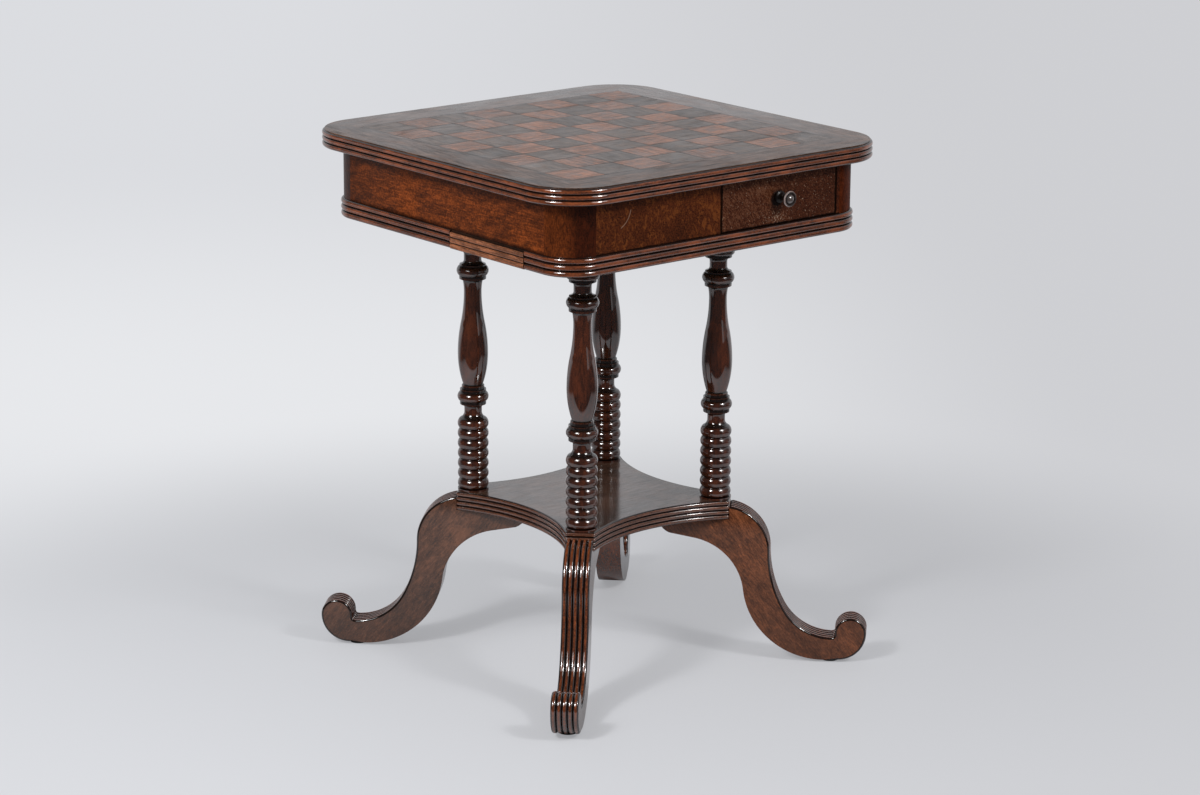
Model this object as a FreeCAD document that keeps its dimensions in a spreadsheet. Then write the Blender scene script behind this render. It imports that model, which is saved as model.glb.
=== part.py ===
import FreeCAD, Part
import math
import os
from types import SimpleNamespace

import Sketcher

# A square chess table in mahogany.  A reeded top with an inlaid board stands on a frieze box with
# one drawer, four turned columns, a platform with hollow sides and four scrolled, reeded legs.
# Millimetres, +Z up.  The origin is on the floor under the middle of the table.  The drawer is in
# the front, which faces -Y; left is -X.

doc = FreeCAD.newDocument("chess_table")

# ---------------------------------------------------------------------------------------------
# Driving dimensions
# ---------------------------------------------------------------------------------------------

DIMENSIONS = [
    ("total_height", 718.0, "floor to playing surface"),
    ("corner_centre", 205.0, "all rounded corners share centres this far from both middle planes"),
    ("square_side", 55.0, "one square of the board"),
    ("glue_line", 0.1, "gap left round each veneer square"),
    ("veneer", 1.4, "thickness of the board and border veneers"),
    ("top_radius", 74.0, "corner radius of the top"),
    ("border_inset", 3.6, "edge of the border veneer to the edge of the top"),
    ("top_reed", 7.2, "one of the three reeds worked on the edge of the top"),
    ("reed_flat", 0.1, "half of the flat left on the crown of each reed"),
    ("frieze_radius", 46.0, "corner radius of the frieze, and radius of its quarter-round posts"),
    ("frieze_thickness", 18.0, "thickness of the frieze boards"),
    ("frieze_height", 70.0, "height of the frieze boards"),
    ("moulding_radius", 50.0, "corner radius of the lower reeded moulding"),
    ("moulding_thickness", 8.0, "depth of the lower reeded moulding"),
    ("base_thickness", 25.0, "thickness of the board under the frieze"),
    ("patch_start", 17.0, "middle of the left side to the repaired length of moulding"),
    ("patch_end", 169.0, "middle of the left side to the far end of that length"),
    ("drawer_space", 199.0, "width of the drawer opening, right of the middle"),
    ("drawer_gap", 1.2, "gap round the drawer front"),
    ("drawer_depth", 400.0, "drawer front face to drawer back face"),
    ("drawer_side_height", 60.0, "height of the drawer sides"),
    ("drawer_board", 8.0, "thickness of the drawer sides and back"),
    ("drawer_floor", 5.0, "thickness of the drawer bottom"),
    ("floor_rise", 6.0, "lower edge of the drawer sides to the groove for the bottom"),
    ("groove_depth", 4.0, "depth of the groove for the drawer bottom"),
    ("fit", 0.1, "clearance of glued joints"),
    ("tail_length", 12.0, "length of the lapped dovetails"),
    ("tail_tip", 14.0, "height of a dovetail at its tip"),
    ("tail_root", 10.0, "height of a dovetail at its root"),
    ("guide_width", 16.0, "width of the drawer guides"),
    ("guide_height", 30.0, "height of the drawer guides"),
    ("kicker_width", 30.0, "width of the kickers above the drawer sides"),
    ("kicker_height", 8.0, "height of the kickers"),
    ("stop_height", 5.0, "height of the drawer stops"),
    ("glue_block", 14.0, "side of the glue blocks under the top"),
    ("glue_block_length", 60.0, "length of the glue blocks"),
    ("column_place", 116.0, "column axes to both middle planes"),
    ("tenon_radius", 11.0, "radius of the column tenons"),
    ("tenon_length", 20.0, "length of the column tenons"),
    ("platform_top", 224.0, "floor to the top of the platform"),
    ("platform_reed", 6.5, "one of the four reeds on the edge of the platform"),
    ("platform_corner", 185.0, "middle of the platform to its clipped corners"),
    ("corner_half_width", 20.0, "half the width of a clipped corner"),
    ("platform_soft", 3.6, "rounding of the upright arrises of the clipped corners"),
    ("platform_waist", 114.0, "middle of the platform to the middle of a hollow side"),
    ("leg_reed", 7.2, "one of the five reeds across a leg"),
    ("leg_reed_depth", 3.0, "crown to valley of those reeds"),
    ("pad_height", 3.5, "thickness of the pad under each foot"),
    ("pad_radius", 12.0, "radius of the pad under each foot"),
    ("pad_place", 323.5, "middle of the table to the middle of each pad"),
    ("screw_radius", 2.0, "radius of the wood screws"),
    ("screw_head_radius", 4.0, "radius of the screw heads"),
    ("screw_head_height", 3.0, "height of the screw heads"),
    ("screw_length", 36.0, "length of the wood screws under the head"),
    ("screw_sink", 8.0, "depth of the counterbores for the screw heads"),
]

SIDES = {"front": 0.0, "right": 90.0, "back": 180.0, "left": -90.0}
CORNERS = {"front_left": 225.0, "front_right": 315.0, "back_right": 45.0, "back_left": 135.0}
HALF_ROOT = math.sqrt(0.5)
TOP_REEDS = 3
MOULDING_REEDS = 3
PLATFORM_REEDS = 4
LEG_REEDS = 5
COLUMN_RINGS = 7
SQUARES = 8


class Size:
    """A number that also carries the spreadsheet formula it comes from."""

    def __init__(self, value, formula):
        self.value = value
        self.formula = formula

    @staticmethod
    def of(number):
        return number if isinstance(number, Size) else Size(float(number), f"({float(number)})")

    def join(self, other, sign, value):
        return Size(value, f"({self.formula} {sign} {Size.of(other).formula})")

    def __add__(self, other):
        return self.join(other, "+", self.value + Size.of(other).value)

    def __sub__(self, other):
        return self.join(other, "-", self.value - Size.of(other).value)

    def __mul__(self, other):
        return self.join(other, "*", self.value * Size.of(other).value)

    def __truediv__(self, other):
        return self.join(other, "/", self.value / Size.of(other).value)

    def __radd__(self, other):
        return Size.of(other) + self

    def __rsub__(self, other):
        return Size.of(other) - self

    def __rmul__(self, other):
        return Size.of(other) * self

    def __neg__(self):
        return Size(-self.value, f"(-{self.formula})")

    def root(self):
        return Size(math.sqrt(self.value), f"sqrt({self.formula})")


def make_sheet():
    """Write the driving dimensions to a spreadsheet and return them as Sizes."""
    sheet = doc.addObject("Spreadsheet::Sheet", "Dims")
    for row, (alias, number, meaning) in enumerate(DIMENSIONS, start=1):
        sheet.set(f"A{row}", meaning)
        sheet.set(f"B{row}", str(number))
        sheet.setAlias(f"B{row}", alias)
    doc.recompute()
    return {alias: Size(float(sheet.get(alias)), f"Dims.{alias}") for alias, number, meaning in DIMENSIONS}


dim = SimpleNamespace(**make_sheet())

# Levels above the floor, worked out from the driving dimensions.
surface = dim.total_height
board_top = surface - dim.veneer
board_bottom = board_top - TOP_REEDS * dim.top_reed
frieze_bottom = board_bottom - dim.frieze_height
base_bottom = frieze_bottom - dim.base_thickness
platform_bottom = dim.platform_top - PLATFORM_REEDS * dim.platform_reed
frieze_face = dim.corner_centre + dim.frieze_radius
frieze_inside = frieze_face - dim.frieze_thickness
moulding_inside = dim.corner_centre + dim.moulding_radius - dim.moulding_thickness
leg_thickness = LEG_REEDS * dim.leg_reed


# ---------------------------------------------------------------------------------------------
# Building helpers
# ---------------------------------------------------------------------------------------------

def bind(obj, prop, size):
    """Tie a property to the spreadsheet."""
    obj.setExpression(prop, Size.of(size).formula)


def place(obj, x=0.0, y=0.0, z=0.0, axis=(0, 0, 1), angle=0.0):
    """Put an object at x, y, z, turned about an axis, with its place tied to the spreadsheet."""
    here = [Size.of(x), Size.of(y), Size.of(z)]
    spot = FreeCAD.Vector(*[size.value for size in here])
    obj.Placement = FreeCAD.Placement(spot, FreeCAD.Rotation(FreeCAD.Vector(*axis), angle))
    for letter, size in zip("xyz", here):
        bind(obj, f"Placement.Base.{letter}", size)
    return obj


def origin_of(body, role):
    """One of the planes or axes of a body, by its role."""
    return next(item for item in body.Origin.OriginFeatures if item.Role == role)


def line_to(x, y):
    return SimpleNamespace(x=Size.of(x), y=Size.of(y), radius=None, turn=0)


def arc_to(x, y, radius, turn):
    """An arc of less than half a turn; turn is 1 for anticlockwise and -1 for clockwise."""
    return SimpleNamespace(x=Size.of(x), y=Size.of(y), radius=Size.of(radius), turn=turn)


def new_sketch(body, name, plane="XY_Plane", lift=0.0):
    """A sketch on one of the body's planes, moved along the plane's normal by lift."""
    sketch = body.newObject("Sketcher::SketchObject", name)
    sketch.AttachmentSupport = [(origin_of(body, plane), "")]
    sketch.MapMode = "FlatFace"
    sketch.AttachmentOffset = FreeCAD.Placement(FreeCAD.Vector(0, 0, Size.of(lift).value), FreeCAD.Rotation())
    bind(sketch, "AttachmentOffset.Base.z", lift)
    return sketch


def hold_point(sketch, geometry, position, x, y):
    """Hold one point of a sketch at x, y."""
    for kind, axis, size in (("DistanceX", -2, x), ("DistanceY", -1, y)):
        if size.value == 0:
            sketch.addConstraint(Sketcher.Constraint("PointOnObject", geometry, position, axis))
        else:
            row = sketch.addConstraint(Sketcher.Constraint(kind, -1, 1, geometry, position, size.value))
            sketch.setExpression(f"Constraints[{row}]", size.formula)


def arc_between(start, end, radius, turn):
    """The circle arc from start to end, always drawn anticlockwise."""
    chord = end - start
    normal = FreeCAD.Vector(-chord.y, chord.x, 0).normalize()
    rise = math.sqrt(max(radius * radius - chord.Length * chord.Length / 4, 0))
    centre = (start + end) * 0.5 + normal * rise * turn
    first, last = (start, end) if turn > 0 else (end, start)
    angles = [math.atan2(point.y - centre.y, point.x - centre.x) for point in (first, last)]
    circle = Part.Circle(centre, FreeCAD.Vector(0, 0, 1), radius)
    return Part.ArcOfCircle(circle, angles[0], angles[1])


def curve_to(step, corner):
    """The line or arc that leads from a corner to the end of a step."""
    start = FreeCAD.Vector(corner.x.value, corner.y.value, 0)
    end = FreeCAD.Vector(step.x.value, step.y.value, 0)
    if step.turn:
        return arc_between(start, end, step.radius.value, step.turn)
    return Part.LineSegment(start, end)


def add_step(sketch, step, corner):
    """Add one step to a sketch; returns its geometry with its first and last point numbers."""
    geometry = sketch.addGeometry(curve_to(step, corner))
    if step.turn:
        row = sketch.addConstraint(Sketcher.Constraint("Radius", geometry, step.radius.value))
        sketch.setExpression(f"Constraints[{row}]", step.radius.formula)
    return (geometry, 1, 2) if step.turn >= 0 else (geometry, 2, 1)


def join_ends(sketch, pairs):
    """Join the end of one piece to the start of the next."""
    for (before, _, tail), (after, head, _) in pairs:
        sketch.addConstraint(Sketcher.Constraint("Coincident", before, tail, after, head))


def draw(sketch, steps):
    """Draw a closed outline through the steps; the last step ends where the first one starts."""
    ends = [add_step(sketch, step, corner) for step, corner in zip(steps, steps[-1:] + steps)]
    join_ends(sketch, zip(ends, ends[1:] + ends[:1]))
    for (geometry, _, tail), step in zip(ends, steps):
        hold_point(sketch, geometry, tail, step.x, step.y)
    return sketch


def draw_path(sketch, start, steps):
    """Draw an open path from a start through the steps."""
    ends = [add_step(sketch, step, corner) for step, corner in zip(steps, [start] + steps)]
    join_ends(sketch, zip(ends, ends[1:]))
    geometry, head, _ = ends[0]
    hold_point(sketch, geometry, head, start.x, start.y)
    for (geometry, _, tail), step in zip(ends, steps):
        hold_point(sketch, geometry, tail, step.x, step.y)
    return sketch


def draw_circle(sketch, x, y, radius):
    """Add a circle to a sketch."""
    x, y, radius = Size.of(x), Size.of(y), Size.of(radius)
    centre = FreeCAD.Vector(x.value, y.value, 0)
    geometry = sketch.addGeometry(Part.Circle(centre, FreeCAD.Vector(0, 0, 1), radius.value))
    row = sketch.addConstraint(Sketcher.Constraint("Radius", geometry, radius.value))
    sketch.setExpression(f"Constraints[{row}]", radius.formula)
    hold_point(sketch, geometry, 3, x, y)


def pad(body, sketch, length, symmetric=False):
    """Extrude a sketch along its normal."""
    feature = body.newObject("PartDesign::Pad", f"{sketch.Name}_pad")
    feature.Profile = sketch
    feature.SideType = "Symmetric" if symmetric else "One side"
    bind(feature, "Length", length)
    return feature


def pocket(body, sketch, depth, upwards):
    """Cut a sketch into the body, and make sure that something was cut."""
    doc.recompute()
    before = body.Shape.Volume
    feature = body.newObject("PartDesign::Pocket", f"{sketch.Name}_cut")
    feature.Profile = sketch
    feature.Reversed = upwards
    bind(feature, "Length", depth)
    doc.recompute()
    if body.Shape.Volume >= before:
        raise ValueError(f"{sketch.Name} cuts nothing")
    return feature


def revolve(body, sketch):
    """Turn a profile about its vertical axis."""
    feature = body.newObject("PartDesign::Revolution", f"{sketch.Name}_turned")
    feature.Profile = sketch
    feature.ReferenceAxis = (sketch, ["V_Axis"])
    feature.Angle = 360.0
    return feature


def round_edges(body, feature, radius, wanted):
    """Round the edges of a feature that the test picks out."""
    doc.recompute()
    names = [f"Edge{number}" for number, edge in enumerate(feature.Shape.Edges, start=1) if wanted(edge)]
    fillet = body.newObject("PartDesign::Fillet", f"{feature.Name}_round")
    fillet.Base = (feature, names)
    bind(fillet, "Radius", radius)
    return fillet


def stack(body, axis, spacing, count):
    """Repeat the whole body along one of its axes."""
    doc.recompute()
    pattern = body.newObject("PartDesign::LinearPattern", f"{body.Name}_stack")
    pattern.TransformMode = "Whole shape"
    pattern.Direction = (origin_of(body, axis), [""])
    pattern.Mode = "Spacing"
    bind(pattern, "Offset", spacing)
    pattern.Occurrences = count
    body.Tip = pattern
    return pattern


def is_level(edge):
    """True for an edge that lies level."""
    return edge.BoundBox.ZLength < 0.01


def middle_of(edge):
    """The point half way along an edge."""
    return edge.valueAt((edge.FirstParameter + edge.LastParameter) / 2)


def corner_level(point):
    """Half the width of the rounded square that passes through a point."""
    corner = dim.corner_centre.value
    beyond = math.hypot(max(abs(point.x) - corner, 0), max(abs(point.y) - corner, 0))
    return corner + beyond


def new_body(name):
    body = doc.addObject("PartDesign::Body", name)
    body.Label = name
    return body


def rounded_square(radius):
    """Outline of a square whose rounded corners are centred on the shared corner centres."""
    centre = dim.corner_centre
    edge = centre + radius
    return [
        line_to(centre, -edge), arc_to(edge, -centre, radius, 1),
        line_to(edge, centre), arc_to(centre, edge, radius, 1),
        line_to(-centre, edge), arc_to(-edge, centre, radius, 1),
        line_to(-edge, -centre), arc_to(-centre, -edge, radius, 1),
    ]


def block(name, corner, size):
    """A rectangular board: its lowest corner and its three sizes."""
    box = doc.addObject("Part::Box", name)
    box.Label = name
    for prop, length in zip(("Length", "Width", "Height"), size):
        bind(box, prop, length)
    return place(box, *corner)


def cylinder(name, x, y, z, radius, height):
    """An upright cylinder standing at x, y, z."""
    round_bar = doc.addObject("Part::Cylinder", name)
    round_bar.Label = name
    bind(round_bar, "Radius", radius)
    bind(round_bar, "Height", height)
    return place(round_bar, x, y, z)


def radius_for(along, across):
    """Radius of an arc that ends so far along and across from its start, seen along its tangent there."""
    return (along * along + across * across) / (across * 2)


def combine(kind, name, members):
    """A fusion or compound of several objects."""
    joined = doc.addObject(f"Part::{kind}", name)
    joined.Label = name
    setattr(joined, "Links" if kind == "Compound" else "Shapes", members)
    return joined


def cut(name, base, tools):
    """A base with tools taken out of it, made sure to have lost something."""
    hollowed = doc.addObject("Part::Cut", name)
    hollowed.Label = name
    hollowed.Base = base
    hollowed.Tool = tools[0] if len(tools) == 1 else combine("MultiFuse", f"{name}_tools", tools)
    doc.recompute()
    if hollowed.Shape.Volume >= base.Shape.Volume:
        raise ValueError(f"{name} lost nothing")
    return hollowed


nodes = []


def keep(node):
    """Count an object among the sub-parts that are written out."""
    nodes.append(node)


def corner_signs(angle):
    """Signs of x and y in the corner that lies at an angle round the middle."""
    direction = math.radians(angle)
    return round(math.cos(direction) / HALF_ROOT), round(math.sin(direction) / HALF_ROOT)


# ---------------------------------------------------------------------------------------------
# The top: a solid board with a reeded edge, the inlaid squares and a mitred border
# ---------------------------------------------------------------------------------------------

def make_top_board():
    body = new_body("top_board")
    outline = draw(new_sketch(body, "top_outline"), rounded_square(dim.top_radius))
    layer = pad(body, outline, dim.top_reed)
    round_edges(body, layer, dim.top_reed / 2 - dim.reed_flat, is_level)
    stack(body, "Z_Axis", dim.top_reed, TOP_REEDS)
    place(body, z=board_bottom)
    keep(body)


def make_squares(name, first_offsets):
    """Half of the 64 squares: two squares of one colour, repeated four by four."""
    body = new_body(name)
    body.AllowCompound = True
    sketch = new_sketch(body, f"{name}_pair")
    edge = dim.square_side * SQUARES / 2
    for column, row in first_offsets:
        left = dim.square_side * column - edge + dim.glue_line / 2
        near = dim.square_side * row - edge + dim.glue_line / 2
        side = dim.square_side - dim.glue_line
        draw(sketch, [line_to(left + side, near), line_to(left + side, near + side),
                      line_to(left, near + side), line_to(left, near)])
    pad(body, sketch, dim.veneer)
    stack(body, "X_Axis", dim.square_side * 2, SQUARES // 2)
    stack(body, "Y_Axis", dim.square_side * 2, SQUARES // 2)
    place(body, z=board_top)
    keep(body)


def make_borders():
    """Four strips of veneer, mitred at the corners of the board."""
    centre = dim.corner_centre
    radius = dim.top_radius - dim.border_inset
    edge = centre + radius
    tip = centre + radius * HALF_ROOT
    board = dim.square_side * SQUARES / 2 + dim.glue_line / 2
    for side, angle in SIDES.items():
        body = new_body(f"border_{side}")
        sketch = draw(new_sketch(body, f"border_{side}_outline"), [
            arc_to(-centre, -edge, radius, 1), line_to(centre, -edge), arc_to(tip, -tip, radius, 1),
            line_to(board, -board), line_to(-board, -board), line_to(-tip, -tip)])
        pad(body, sketch, dim.veneer)
        place(body, z=board_top, angle=angle)
        keep(body)


# ---------------------------------------------------------------------------------------------
# The frieze box: base board, reeded moulding, boards and quarter-round corner posts
# ---------------------------------------------------------------------------------------------

def screw_spots():
    """Places of the screws that hold the base board to each frieze board."""
    line = frieze_face - dim.frieze_thickness / 2
    reach = dim.corner_centre * 0.6
    return {
        "left": [(-line, -reach), (-line, reach)],
        "right": [(line, -reach), (line, reach)],
        "back": [(-reach, line), (reach, line)],
        "front": [(-reach, -line), (-reach / 4, -line)],
    }


def make_base_board():
    body = new_body("base_board")
    radius = dim.moulding_radius - dim.moulding_thickness
    outline = draw(new_sketch(body, "base_outline"), rounded_square(radius))
    pad(body, outline, dim.base_thickness)
    sockets = new_sketch(body, "column_sockets")
    for side_x in (-1, 1):
        for side_y in (-1, 1):
            draw_circle(sockets, dim.column_place * side_x, dim.column_place * side_y,
                        dim.tenon_radius + dim.fit)
    pocket(body, sockets, dim.tenon_length + dim.fit, upwards=True)
    shanks = new_sketch(body, "base_screw_holes")
    heads = new_sketch(body, "base_screw_counterbores")
    for x, y in sum(screw_spots().values(), []):
        draw_circle(shanks, x, y, dim.screw_radius + dim.fit)
        draw_circle(heads, x, y, dim.screw_head_radius + 0.5)
    pocket(body, shanks, dim.base_thickness, upwards=True)
    pocket(body, heads, dim.screw_sink, upwards=True)
    place(body, z=base_bottom)
    keep(body)


def make_moulding(name, side, start=None, end=None):
    """A length of the lower reeded moulding.  An end that isn't given is a mitred corner."""
    centre = dim.corner_centre
    outer, inner = dim.moulding_radius, dim.moulding_radius - dim.moulding_thickness
    outer_tip, inner_tip = centre + outer * HALF_ROOT, centre + inner * HALF_ROOT
    face, back = centre + outer, centre + inner
    if end is None:
        right = [line_to(centre, -face), arc_to(outer_tip, -outer_tip, outer, 1),
                 line_to(inner_tip, -inner_tip), arc_to(centre, -back, inner, -1)]
    else:
        right = [line_to(end, -face), line_to(end, -back)]
    if start is None:
        left = [line_to(-centre, -back), arc_to(-inner_tip, -inner_tip, inner, -1),
                line_to(-outer_tip, -outer_tip), arc_to(-centre, -face, outer, 1)]
    else:
        left = [line_to(start, -back), line_to(start, -face)]
    reed = dim.base_thickness / MOULDING_REEDS
    body = new_body(name)
    layer = pad(body, draw(new_sketch(body, f"{name}_outline"), right + left), reed)
    round_edges(body, layer, reed / 2 - dim.reed_flat,
                lambda edge: is_level(edge) and corner_level(middle_of(edge)) > face.value - 0.01)
    stack(body, "Z_Axis", reed, MOULDING_REEDS)
    place(body, z=base_bottom, angle=SIDES[side])
    keep(body)


def make_mouldings():
    make_moulding("lower_moulding_front", "front")
    make_moulding("lower_moulding_right", "right")
    make_moulding("lower_moulding_back", "back")
    make_moulding("lower_moulding_left_rear", "left", end=dim.patch_start - dim.fit)
    make_moulding("lower_moulding_left_patch", "left", start=dim.patch_start, end=dim.patch_end)
    make_moulding("lower_moulding_left_near", "left", start=dim.patch_end + dim.fit)


def make_corner_posts():
    """Quarter-round posts that carry the frieze round the corners."""
    for name, angle in CORNERS.items():
        side_x, side_y = corner_signs(angle)
        post = cylinder(f"post_{name}", 0, 0, 0, dim.frieze_radius, dim.frieze_height)
        post.Angle = 90.0
        keep(place(post, dim.corner_centre * side_x, dim.corner_centre * side_y, frieze_bottom,
                   angle=angle - 45.0))


def frieze_board(name, corner, size, screws):
    """A frieze board with holes in its lower edge for the screws of the base board."""
    blank = block(f"{name}_blank", corner, size)
    depth = dim.screw_sink + dim.screw_length + dim.fit - dim.base_thickness
    holes = [cylinder(f"{name}_hole_{number}", x, y, frieze_bottom, dim.screw_radius + dim.fit, depth)
             for number, (x, y) in enumerate(screws)]
    keep(cut(name, blank, holes))


def wood_screws(name, spots, seat):
    """Upright screws, head down, whose heads bear on a seat at one level."""
    screws = []
    for number, (x, y) in enumerate(spots):
        head = cylinder(f"{name}_head_{number}", x, y, seat - dim.screw_head_height,
                        dim.screw_head_radius, dim.screw_head_height)
        shank = cylinder(f"{name}_shank_{number}", x, y, seat, dim.screw_radius, dim.screw_length)
        screws.append(combine("MultiFuse", f"{name}_{number}", [head, shank]))
    return combine("Compound", name, screws)


def make_frieze():
    centre, thick, high = dim.corner_centre, dim.frieze_thickness, dim.frieze_height
    spots = screw_spots()
    frieze_board("frieze_left", (-frieze_face, -centre, frieze_bottom), (thick, centre * 2, high),
                 spots["left"])
    frieze_board("frieze_right", (frieze_inside, -centre, frieze_bottom), (thick, centre * 2, high),
                 spots["right"])
    frieze_board("frieze_back", (-centre, frieze_inside, frieze_bottom), (centre * 2, thick, high),
                 spots["back"])
    frieze_board("frieze_front", (-centre, -frieze_face, frieze_bottom), (centre, thick, high),
                 spots["front"])
    keep(block("drawer_stile", (dim.drawer_space, -frieze_face, frieze_bottom),
               (centre - dim.drawer_space, thick, high)))


def make_glue_blocks():
    """Blocks rubbed into the angle between the frieze boards and the top."""
    side, length = dim.glue_block, dim.glue_block_length
    low = board_bottom - side
    reach = dim.corner_centre * 0.6 - length / 2
    inside = frieze_inside - side
    blocks = []
    for number, along in enumerate((-reach - length, reach)):
        blocks.append(block(f"glue_left_{number}", (-frieze_inside, along, low), (side, length, side)))
        blocks.append(block(f"glue_right_{number}", (inside, along, low), (side, length, side)))
        blocks.append(block(f"glue_back_{number}", (along, inside, low), (length, side, side)))
    blocks.append(block("glue_front", (-reach - length, -frieze_inside, low), (length, side, side)))
    keep(combine("Compound", "glue_blocks", blocks))


def make_base_screws():
    spots = sum(screw_spots().values(), [])
    keep(wood_screws("base_screws", spots, base_bottom + dim.screw_sink))


# ---------------------------------------------------------------------------------------------
# The drawer and what it runs on
# ---------------------------------------------------------------------------------------------

drawer_left = dim.drawer_gap
drawer_width = dim.drawer_space - dim.drawer_gap * 2
drawer_bottom = frieze_bottom + dim.drawer_gap
drawer_back = dim.drawer_depth - frieze_face
side_start = dim.frieze_thickness - frieze_face
floor_bottom = drawer_bottom + dim.floor_rise
back_bottom = floor_bottom + dim.drawer_floor + dim.fit
drawer_sides = {"left": drawer_left, "right": drawer_left + drawer_width - dim.drawer_board}
knob_tenon = 4.0
knob_level = frieze_bottom + dim.frieze_height / 2 + 1.0


def dovetails(prefix, x, root, tip, low, high, count, slack):
    """Dovetails between two levels that widen along Y, from the root plane to the tip plane."""
    tails = []
    spacing = (high - low) / count
    forwards = tip.value < root.value
    near, far = (dim.tail_tip, dim.tail_root) if forwards else (dim.tail_root, dim.tail_tip)
    for number in range(count):
        middle = low + spacing * (number + 0.5)
        sizes = {
            "Xmin": x - slack, "Xmax": x + dim.drawer_board + slack,
            "X2min": x - slack, "X2max": x + dim.drawer_board + slack,
            "Ymin": tip if forwards else root, "Ymax": root if forwards else tip,
            "Zmin": middle - near / 2 - slack, "Zmax": middle + near / 2 + slack,
            "Z2min": middle - far / 2 - slack, "Z2max": middle + far / 2 + slack,
        }
        wedge = doc.addObject("Part::Wedge", f"{prefix}_{number}")
        for prop, size in sizes.items():
            bind(wedge, prop, size)
        tails.append(wedge)
    return tails


def front_tails(prefix, x, slack):
    """The lapped tails at the front end of a drawer side, or their sockets when slack is given."""
    return dovetails(prefix, x, side_start, side_start - dim.tail_length - slack, drawer_bottom,
                     drawer_bottom + dim.drawer_side_height, 3, slack)


def back_tails(prefix, x, slack):
    """The through tails at the back end of a drawer side, or their sockets when slack is given."""
    return dovetails(prefix, x, drawer_back - dim.drawer_board, drawer_back, back_bottom,
                     drawer_bottom + dim.drawer_side_height, 2, slack)


def make_drawer_front():
    """The front takes lapped dovetails at both ends, the bottom in a groove and the knob in a hole."""
    blank = block("drawer_front_blank", (drawer_left, -frieze_face, drawer_bottom),
                  (drawer_width, dim.frieze_thickness, dim.frieze_height - dim.drawer_gap * 2))
    tools = []
    for name, x in drawer_sides.items():
        tools += front_tails(f"front_socket_{name}", x, dim.fit)
    inset = dim.drawer_board - dim.groove_depth
    tools.append(block("front_groove",
                       (drawer_left + inset, side_start - dim.groove_depth, floor_bottom - dim.fit),
                       (drawer_width - inset * 2, dim.groove_depth, dim.drawer_floor + dim.fit * 2)))
    hole = cylinder("knob_hole", 0, 0, 0, knob_tenon + dim.fit, dim.frieze_thickness)
    tools.append(place(hole, drawer_left + drawer_width / 2, side_start, knob_level,
                       axis=(1, 0, 0), angle=90.0))
    keep(cut("drawer_front", blank, tools))


def make_drawer_sides():
    """Sides with tails at both ends and a groove for the bottom."""
    grooves = {"left": drawer_sides["left"] + dim.drawer_board - dim.groove_depth,
               "right": drawer_sides["right"]}
    for name, x in drawer_sides.items():
        plank = block(f"side_{name}_plank", (x, side_start, drawer_bottom),
                      (dim.drawer_board, drawer_back - dim.drawer_board - side_start, dim.drawer_side_height))
        tails = front_tails(f"side_{name}_front", x, 0) + back_tails(f"side_{name}_back", x, 0)
        whole = combine("MultiFuse", f"side_{name}_whole", [plank] + tails)
        groove = block(f"side_{name}_groove",
                       (grooves[name], side_start - dim.groove_depth, floor_bottom - dim.fit),
                       (dim.groove_depth, dim.drawer_depth, dim.drawer_floor + dim.fit * 2))
        keep(cut(f"drawer_side_{name}", whole, [groove]))


def make_drawer_back():
    """The back stands on the bottom, between the tails of the sides."""
    blank = block("drawer_back_blank", (drawer_left, drawer_back - dim.drawer_board, back_bottom),
                  (drawer_width, dim.drawer_board, drawer_bottom + dim.drawer_side_height - back_bottom))
    tools = []
    for name, x in drawer_sides.items():
        tools += back_tails(f"back_socket_{name}", x, dim.fit)
    keep(cut("drawer_back", blank, tools))


def make_drawer_bottom():
    """The bottom slides into the grooves from the back."""
    inset = dim.drawer_board - dim.groove_depth + dim.fit
    start = side_start - dim.groove_depth + dim.fit
    keep(block("drawer_bottom", (drawer_left + inset, start, floor_bottom),
               (drawer_width - inset * 2, drawer_back - start, dim.drawer_floor)))


def make_knob():
    """A small turned knob: tenon, collar, slim stem, spreading head with a rim and a domed face."""
    body = new_body("drawer_knob")
    face = dim.frieze_thickness
    revolve(body, draw(new_sketch(body, "knob_profile", "XZ_Plane"), [
        line_to(knob_tenon, 0.0), line_to(knob_tenon, face), line_to(7.4, face),
        arc_to(7.4, face + 2.6, 1.6, 1), arc_to(4.4, face + 6.0, 3.6, -1),
        arc_to(9.2, face + 17.0, 12.0, -1), arc_to(9.2, face + 21.6, 2.6, 1),
        line_to(8.0, face + 21.2),
        arc_to(0.0, face + 24.0, radius_for(8.0, 2.8), 1), line_to(0.0, 0.0)]))
    place(body, drawer_left + drawer_width / 2, side_start, knob_level, axis=(1, 0, 0), angle=90.0)
    keep(body)


def make_runners():
    """Guides beside the drawer, kickers above its sides and stops behind its front."""
    start, length = -dim.corner_centre, dim.corner_centre * 2
    keep(block("drawer_guide_left", (-dim.guide_width, start, frieze_bottom),
               (dim.guide_width, length, dim.guide_height)))
    keep(block("drawer_guide_right", (dim.drawer_space, start, frieze_bottom),
               (dim.guide_width, length, dim.guide_height)))
    kicker_bottom = board_bottom - dim.kicker_height
    overlap = dim.kicker_width - dim.guide_width
    keep(block("drawer_kicker_left", (-dim.guide_width, start, kicker_bottom),
               (dim.kicker_width, length, dim.kicker_height)))
    keep(block("drawer_kicker_right", (dim.drawer_space - overlap, start, kicker_bottom),
               (dim.kicker_width, length, dim.kicker_height)))
    stops = []
    for number, share in enumerate((0.2, 0.8)):
        x = drawer_left + drawer_width * share - dim.glue_block
        stops.append(block(f"drawer_stop_{number}", (x, side_start + dim.drawer_gap, frieze_bottom),
                           (dim.glue_block * 2, dim.glue_block, dim.stop_height)))
    keep(combine("Compound", "drawer_stops", stops))


# ---------------------------------------------------------------------------------------------
# The turned columns
# ---------------------------------------------------------------------------------------------

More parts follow.
